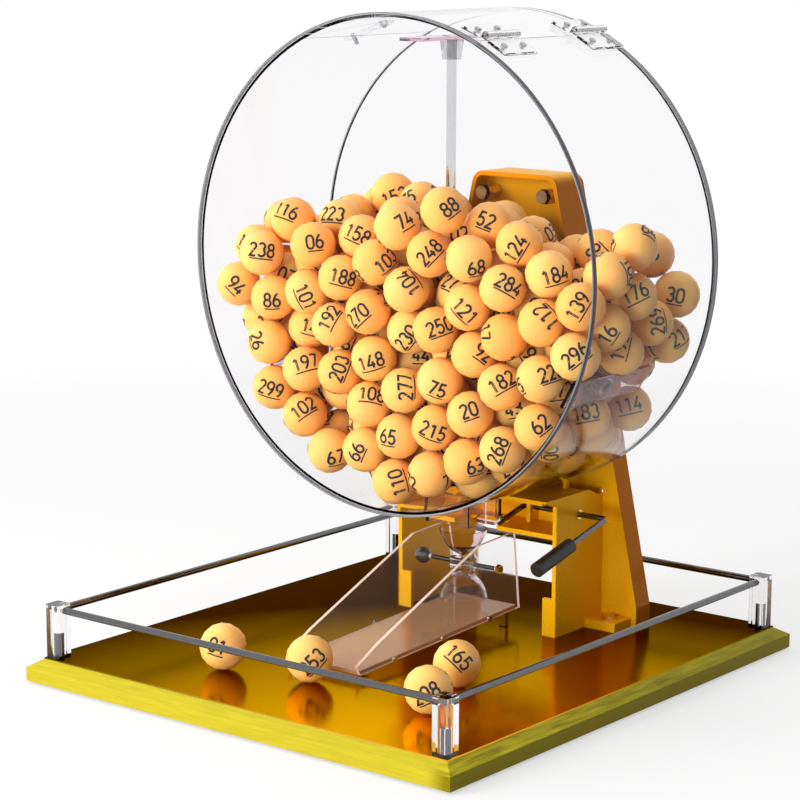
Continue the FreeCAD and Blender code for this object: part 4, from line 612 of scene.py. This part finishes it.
def strip_faces(count):
    """Quads between two rows of points, one row after the other."""
    start = np.arange(count - 1)[:, None]
    return start + np.array([0, 1, count + 1, count])


def print_width(count):
    """Width of a number of so many digits, in digit heights."""
    return (count - 1) * PITCH + DIGIT_WIDTH


class Printer:
    """Prints numbers on the facets of a ball, at each place round its middle. A mark is a
    digit, or an underline, which is named by as many low lines as it has digits over it."""

    def __init__(self, sizes, radius):
        self.points, self.quads = ball_skin(sizes.cells)
        self.normals, self.depths = outer_planes(self.points, self.quads)
        self.height = sizes.digit_height / radius
        self.lift = sizes.ink_lift / radius
        stroke = sizes.stroke / radius
        self.marks = {digit: (lines, stroke) for digit, lines in digit_strokes().items()}
        for count in PRINTED_DIGITS:
            line = run((0, UNDERLINE_LEVEL), (print_width(count), UNDERLINE_LEVEL))
            self.marks["_" * count] = ([line], stroke * UNDERLINE_STROKE)
        self.made = {}

    def wrap(self, flat, turn):
        """Lay flat points on the ball: a point (u, v) goes |(u, v)| radians from the middle of
        the print, towards (u, v), out to the facet there."""
        least_angle, least_facing = 1e-9, 0.3
        far = np.maximum(np.linalg.norm(flat, axis=1), least_angle)
        ahead = np.stack([np.cos(far), np.sin(far) * flat[:, 0] / far,
                          np.sin(far) * flat[:, 1] / far], 1)
        c, s = math.cos(turn), math.sin(turn)
        ahead = ahead @ np.array([(c, s, 0), (-s, c, 0), (0, 0, 1)])
        facing = ahead @ self.normals.T
        reach = np.where(facing > least_facing, self.depths / np.maximum(facing, least_facing),
                         np.inf).min(axis=1)
        return ahead * (reach[:, None] + self.lift)

    def glyph(self, mark, shift, place):
        """One digit or underline of a print, as points and faces."""
        key = (mark, round(shift, 4), place)
        if key not in self.made:
            lines, width = self.marks[mark]
            turn = place * 2 * math.pi / PRINT_PLACES
            strips = []
            for line in lines:
                rows = np.concatenate(ribbon((line + (shift, -PRINT_MIDDLE)) * self.height, width))
                strips.append((self.wrap(rows, turn), strip_faces(len(line))))
            self.made[key] = gathered(strips)
        return self.made[key]

    def number(self, text):
        """The digits and the underline of a number, at all its places."""
        left = -print_width(len(text)) / 2
        marks = [(digit, left + index * PITCH) for index, digit in enumerate(text)]
        marks.append(("_" * len(text), left))
        return [self.glyph(mark, shift, place) for place in range(PRINT_PLACES)
                for mark, shift in marks]


def outer_planes(points, quads):
    """Normals and depths of the planes of a ball's facets. A bent quad can be halved in two
    ways, and the planes that no point lies outside of are the outer ones."""
    slack = 1e-6
    halves = np.concatenate([quads[:, pick] for pick in
                             ([0, 1, 2], [0, 2, 3], [0, 1, 3], [1, 2, 3])])
    corners = points[halves]
    normals = np.cross(corners[:, 1] - corners[:, 0], corners[:, 2] - corners[:, 0])
    normals /= np.linalg.norm(normals, axis=1, keepdims=True)
    depths = np.sum(normals * corners[:, 0], axis=1)
    outer = (points @ normals.T).max(axis=0) < depths + slack
    return normals[outer], depths[outer]


def gathered(pieces):
    """One array of points and one of faces from many."""
    starts = np.cumsum([0] + [len(points) for points, _ in pieces[:-1]])
    return (np.concatenate([points for points, _ in pieces]),
            np.concatenate([faces + start for (_, faces), start in zip(pieces, starts)]))


def ball_places(node):
    """Centres and radius of the balls in a CAD node. Faces of one skin share no points with
    the next, so the list of faces is cut where the highest point so far is below all later.
    A ball is hollow, and the wider of its two skins is the outer one."""
    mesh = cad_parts[node].data
    points = np.empty(len(mesh.vertices) * 3, np.float32)
    mesh.vertices.foreach_get("co", points)
    points = points.reshape(-1, 3)
    corners = np.empty(len(mesh.loops), np.int32)
    mesh.loops.foreach_get("vertex_index", corners)
    corners = corners.reshape(-1, 3)
    highest = np.maximum.accumulate(corners.max(axis=1))
    lowest = np.minimum.accumulate(corners.min(axis=1)[::-1])[::-1]
    cuts = np.concatenate([[0], highest[:-1][highest[:-1] < lowest[1:]] + 1])
    low = np.minimum.reduceat(points, cuts)
    high = np.maximum.reduceat(points, cuts)
    width = (high - low).max(axis=1)
    outer = width > width.mean()
    return (low + high)[outer] / 2, float(width[outer].mean()) / 2


def aimed(azimuth, elevation, roll):
    """Three rows: the direction out at an azimuth and an elevation, (sin a cos e,
    -cos a cos e, sin e), then the right and the top as seen from there, rolled round it."""
    out = np.array([math.sin(azimuth) * math.cos(elevation),
                    -math.cos(azimuth) * math.cos(elevation), math.sin(elevation)])
    right = np.array([math.cos(azimuth), math.sin(azimuth), 0])
    top = np.cross(out, right)
    c, s = math.cos(roll), math.sin(roll)
    return np.array([out, c * right + s * top, c * top - s * right])


def make_balls(prefix, centres, radius, numbers, axes, tones, body, node, sizes):
    """Balls and their prints as two pieces that ride on a body, in place of a CAD node. The
    axes of a ball are the directions of its print: out, right and top."""
    printer = Printer(sizes, radius)
    shells, prints = [], []
    for centre, number, turn in zip(centres, numbers, axes):
        shells.append((printer.points * radius @ turn + centre, printer.quads))
        prints += [(points * radius @ turn + centre, faces)
                   for points, faces in printer.number(number)]
    balls = skin(prefix + "_balls", *gathered(shells),
                 once(ball_plastic, "ball_plastic", sizes.light, sizes.deep))
    tone = balls.data.attributes.new("tone", "FLOAT", "POINT")
    tone.data.foreach_set("value", np.repeat(tones, len(printer.points)).astype(np.float32))
    ink = skin(prefix + "_ball_numbers", *gathered(prints),
               once(printing_ink, "printing_ink", sizes.ink), smooth=False)
    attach(balls, body)
    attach(ink, body)
    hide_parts(node)


# ---------------------------------------------------------------- operators

class FillDrum(Operator):
    """Numbered balls in the drum"""
    bl_idname = "raffle.fill_drum"
    bl_label = "Balls in the drum"

    def execute(self, context):
        sizes = context.scene.raffle_balls
        stage = context.scene.raffle_stage
        centres, radius = ball_places("balls_in_drum")
        count = len(centres)
        chance = np.random.default_rng(sizes.seed)
        drawn = {int(number) for number, *_ in DRAWN}
        numbers = [n for n in chance.permutation(sizes.highest) + 1 if n not in drawn][:count]
        away = np.where(chance.random(count) < sizes.away_share,
                        chance.choice((-1, 1), count) * sizes.away_turn, 0)
        azimuth = stage.azimuth + away + chance.normal(0, sizes.turn_spread, count)
        elevation = stage.elevation + chance.normal(0, sizes.lift_spread, count)
        slant = chance.normal(sizes.slant, sizes.slant_spread, count)
        axes = [aimed(*turn) for turn in zip(azimuth, elevation, slant)]
        tones = chance.random(count)
        make_balls("drum", centres, radius, [f"{n:02d}" for n in numbers], axes, tones,
                   "stirrer", "balls_in_drum", sizes)
        return {"FINISHED"}


class DrawnBalls(Operator):
    """The balls that have left the drum and lie on the tray"""
    bl_idname = "raffle.drawn_balls"
    bl_label = "Drawn balls"

    def execute(self, context):
        sizes = context.scene.raffle_balls
        stage = context.scene.raffle_stage
        centres, radius = ball_places("drawn_balls")
        centres = centres[np.argsort(centres[:, 0])]
        numbers, turns, lifts, rolls, tones = zip(*DRAWN)
        axes = [aimed(*turn) for turn in zip(stage.azimuth + np.radians(turns),
                                             stage.elevation + np.radians(lifts),
                                             np.radians(rolls))]
        make_balls("tray", centres, radius, numbers, axes, tones, "root", "drawn_balls", sizes)
        return {"FINISHED"}


class BoardFinish(Operator):
    """Edge, panel and feet of the board"""
    bl_idname = "raffle.board_finish"
    bl_label = "Board"

    def execute(self, context):
        tints = context.scene.raffle_finishes
        dress(brushed_edge("board_edge", tints.board, tints.board_side_shade, tints.bevel),
              "base_board")
        corner = (BOARD_HIGH.x, BOARD_LOW.y, BOARD_HIGH.z)
        dress(mirror_panel("top_gloss", tints, corner), "top_panel")
        dress(moulded_black("foot_rubber", tints.rubber, roughness=0.8), "base_feet")
        return {"FINISHED"}


class StandFinish(Operator):
    """Gold lacquer of the stand"""
    bl_idname = "raffle.stand_finish"
    bl_label = "Stand"

    def execute(self, context):
        tints = context.scene.raffle_finishes
        gold = lacquered_gold("stand_lacquer", tints.stand, tints.stand_side_shade, roughness=0.34,
                              speckle=500)
        dress(gold, "stand_leg_left", "stand_leg_right", "stand_beam", "stand_head",
              "stand_front_tabs")
        return {"FINISHED"}


class ClearFinish(Operator):
    """Clear drum, door, posts, chute, duct, cup and blades"""
    bl_idname = "raffle.clear_finish"
    bl_label = "Clear plastic"

    def execute(self, context):
        tints = context.scene.raffle_finishes
        dress(clear_plastic("drum_acrylic", tints.clear, index=1.12), "drum_shell", "door")
        dress(clear_plastic("rimmed_acrylic", tints.clear, index=1.12, rim=tints.rim),
              "drum_front_disc", "drum_back_disc")
        dress(clear_plastic("fittings_acrylic", scaled(tints.clear, 0.98)), "post_front_left",
              "post_front_right", "post_rear_left", "post_rear_right", "hinge_leaves_drum",
              "hinge_leaves_door", "latch_strap", "chute_feet")
        dress(chute_plastic("chute_plate", tints.clear, clarity=0.97, edge=tints.chute_edge),
              "chute_side_left", "chute_side_right")
        dress(clear_plastic("chute_sheet", tints.chute, roughness=0.02, index=1.2, clarity=0.8),
              "chute_floor")
        dress(clear_plastic("arm_acrylic", tints.arm), "stirrer_arms", "stirrer_collars")
        dress(clear_plastic("duct_acrylic", tints.duct, roughness=0.05, index=1.3),
              "outlet_spout", "turning_cup", "gate_tongue")
        dress(clear_plastic("blade_acrylic", tints.blade, roughness=0.05, index=1.25),
              "stirrer_blades")
        return {"FINISHED"}


class MetalFinish(Operator):
    """Rods, screws, nuts and brass"""
    bl_idname = "raffle.metal_finish"
    bl_label = "Metal"

    def execute(self, context):
        tints = context.scene.raffle_finishes
        # The rods' dark grey is a painted reflection
        dress(polished_metal("rod_chrome", tints.chrome, roughness=0.12), "rail_front",
              "rail_rear", "rail_left", "rail_right", "lever_rod", "stirrer_shaft",
              "post_studs", "cup_spindle", "cup_knob", "crank_arm", "crank_pin")
        dress(polished_metal("screw_steel", tints.steel, roughness=0.2), "drum_bolts",
              "hinge_pins", "hinge_screws_drum", "hinge_screws_door", "latch_screw",
              "latch_keeper", "tongue_screw", "chute_screws", "stirrer_hub")
        dress(polished_metal("bush_brass", tints.brass, roughness=0.22), "shaft_bush",
              "lever_bushes", "drum_spacers", "drum_nuts", "cup_nut", "stand_bolts")
        return {"FINISHED"}


class GripFinish(Operator):
    """Black grips of the lever and the crank"""
    bl_idname = "raffle.grip_finish"
    bl_label = "Grips"

    def execute(self, context):
        tints = context.scene.raffle_finishes
        dress(moulded_black("grip_black", tints.grip, roughness=0.42), "lever_grip",
              "crank_grip")
        return {"FINISHED"}


class BuildStage(Operator):
    """Floor, soft lamps, pale surroundings and camera"""
    bl_idname = "raffle.build_stage"
    bl_label = "Stage"

    def execute(self, context):
        sizes = context.scene.raffle_stage
        pale_floor(sizes)
        for name, (side, spot) in LAMPS.items():
            soft_lamp(name + "_lamp", getattr(sizes, name), side, spot)
        pale_surroundings(context.scene, sizes)
        place_camera(context.scene, sizes)
        return {"FINISHED"}


def pale_floor(sizes):
    """A round sheet: point = radius * (cos t, sin t, 0), on rings that widen outwards. Its
    paper glows a little for the eye alone and fades out far from the middle."""
    innermost, widening = 0.02, 1.5
    row = FLOOR_SIDES + 1
    rings = FLOOR_RADIUS * np.linspace(innermost, 1, FLOOR_RINGS)[:, None] ** widening
    turn = np.linspace(0, 2 * math.pi, row)[None, :]
    level = np.zeros((FLOOR_RINGS, row))
    points = np.stack([rings * np.cos(turn), rings * np.sin(turn), level], -1)
    first = (np.arange(FLOOR_RINGS - 1)[:, None] * row + np.arange(FLOOR_SIDES)).reshape(-1, 1)
    quads = first + np.array([0, row, row + 1, 1])
    recipe = new_recipe("floor_pale")
    paper = recipe.fill(recipe.add("BsdfDiffuse"), color=sizes.floor)
    lift = recipe.math("MULTIPLY", recipe.seen_rays(), sizes.floor_glow)
    glow = recipe.fill(recipe.add("Emission"), strength=lift)
    lit = recipe.join("AddShader", paper.outputs[0], glow.outputs[0])
    fade = recipe.spread(recipe.vector("LENGTH", recipe.place()), FLOOR_FADE)
    clear = recipe.add("BsdfTransparent")
    mix = recipe.join("MixShader", fade, lit.outputs[0], clear.outputs[0])
    floor = skin("floor", points.reshape(-1, 3), quads, recipe.finish(mix))


def soft_lamp(name, power, side, spot):
    """A square lamp that looks at the middle of the object, and that glass and metal don't
    show."""
    lamp = bpy.data.lights.new(name, "AREA")
    lamp.energy = power
    lamp.size = side
    thing = bpy.data.objects.new(name, lamp)
    bpy.context.scene.collection.objects.link(thing)
    thing.visible_glossy = False
    thing.visible_transmission = False
    thing.location = spot
    thing.rotation_euler = (LAMP_AIM - thing.location).to_track_quat("-Z", "Y").to_euler()


def pale_surroundings(scene, sizes):
    """White to the eye; as a lamp, soft, and weaker from the right than from the left."""
    left_to_right = (-0.8, 0.8)
    recipe = Recipe(bpy.data.worlds.new("surroundings"), "OutputWorld")
    across = recipe.split(recipe.add("TexCoord").outputs["Generated"])[0]
    soft = recipe.spread(across, left_to_right, (sizes.ambient, sizes.shade))
    level = recipe.blend(recipe.seen_rays(), soft, 1, kind="FLOAT")
    back = recipe.fill(recipe.add("Background"), color=(1, 1, 1), strength=level)
    scene.world = recipe.finish(back)


def place_camera(scene, sizes):
    """The camera stands back from its aim along the direction of azimuth and elevation."""
    out, right, top = aimed(sizes.azimuth, sizes.elevation, sizes.roll)
    camera = bpy.data.cameras.new("camera")
    camera.sensor_width = SENSOR_WIDTH
    camera.lens = sizes.lens
    camera.clip_start = NEAREST_SEEN
    thing = bpy.data.objects.new("camera", camera)
    scene.collection.objects.link(thing)
    spot = np.array(sizes.aim) + out * sizes.distance
    thing.matrix_world = Matrix(np.vstack([np.stack([right, top, out, spot], 1),
                                           (0, 0, 0, 1)]).tolist())
    scene.camera = thing
    scene.view_settings.view_transform = "Standard"


# ---------------------------------------------------------------- panel and start

STEPS = (BoardFinish, StandFinish, ClearFinish, MetalFinish, GripFinish, FillDrum, DrawnBalls,
         BuildStage)
GROUPS = {"raffle_balls": BallSizes, "raffle_finishes": FinishColours, "raffle_stage": StageSizes}


class RafflePanel(Panel):
    """The raffle drum's pieces and their sizes"""
    bl_idname = "VIEW3D_PT_raffle_drum"
    bl_label = "Raffle Drum"
    bl_space_type = "VIEW_3D"
    bl_region_type = "UI"
    bl_category = "Raffle Drum"

    def draw(self, context):
        for group in GROUPS:
            column = self.layout.column()
            settings = getattr(context.scene, group)
            for name in settings.__annotations__:
                column.prop(settings, name)
        for step in STEPS:
            self.layout.operator(step.bl_idname)


def register():
    """Make the operators, the panel and the scene's settings known."""
    for group in (*GROUPS.values(), *STEPS, RafflePanel):
        bpy.utils.register_class(group)
    for name, group in GROUPS.items():
        setattr(bpy.types.Scene, name, PointerProperty(type=group))


def unregister():
    """Undo register, last things first."""
    for name in GROUPS:
        delattr(bpy.types.Scene, name)
    for group in (RafflePanel, *reversed(STEPS), *GROUPS.values()):
        bpy.utils.unregister_class(group)


def main():
    """Make everything in order."""
    register()
    for step in STEPS:
        family, action = step.bl_idname.split(".")
        getattr(getattr(bpy.ops, family), action)()
    bpy.context.view_layer.update()


if __name__ == "__main__":
    main()
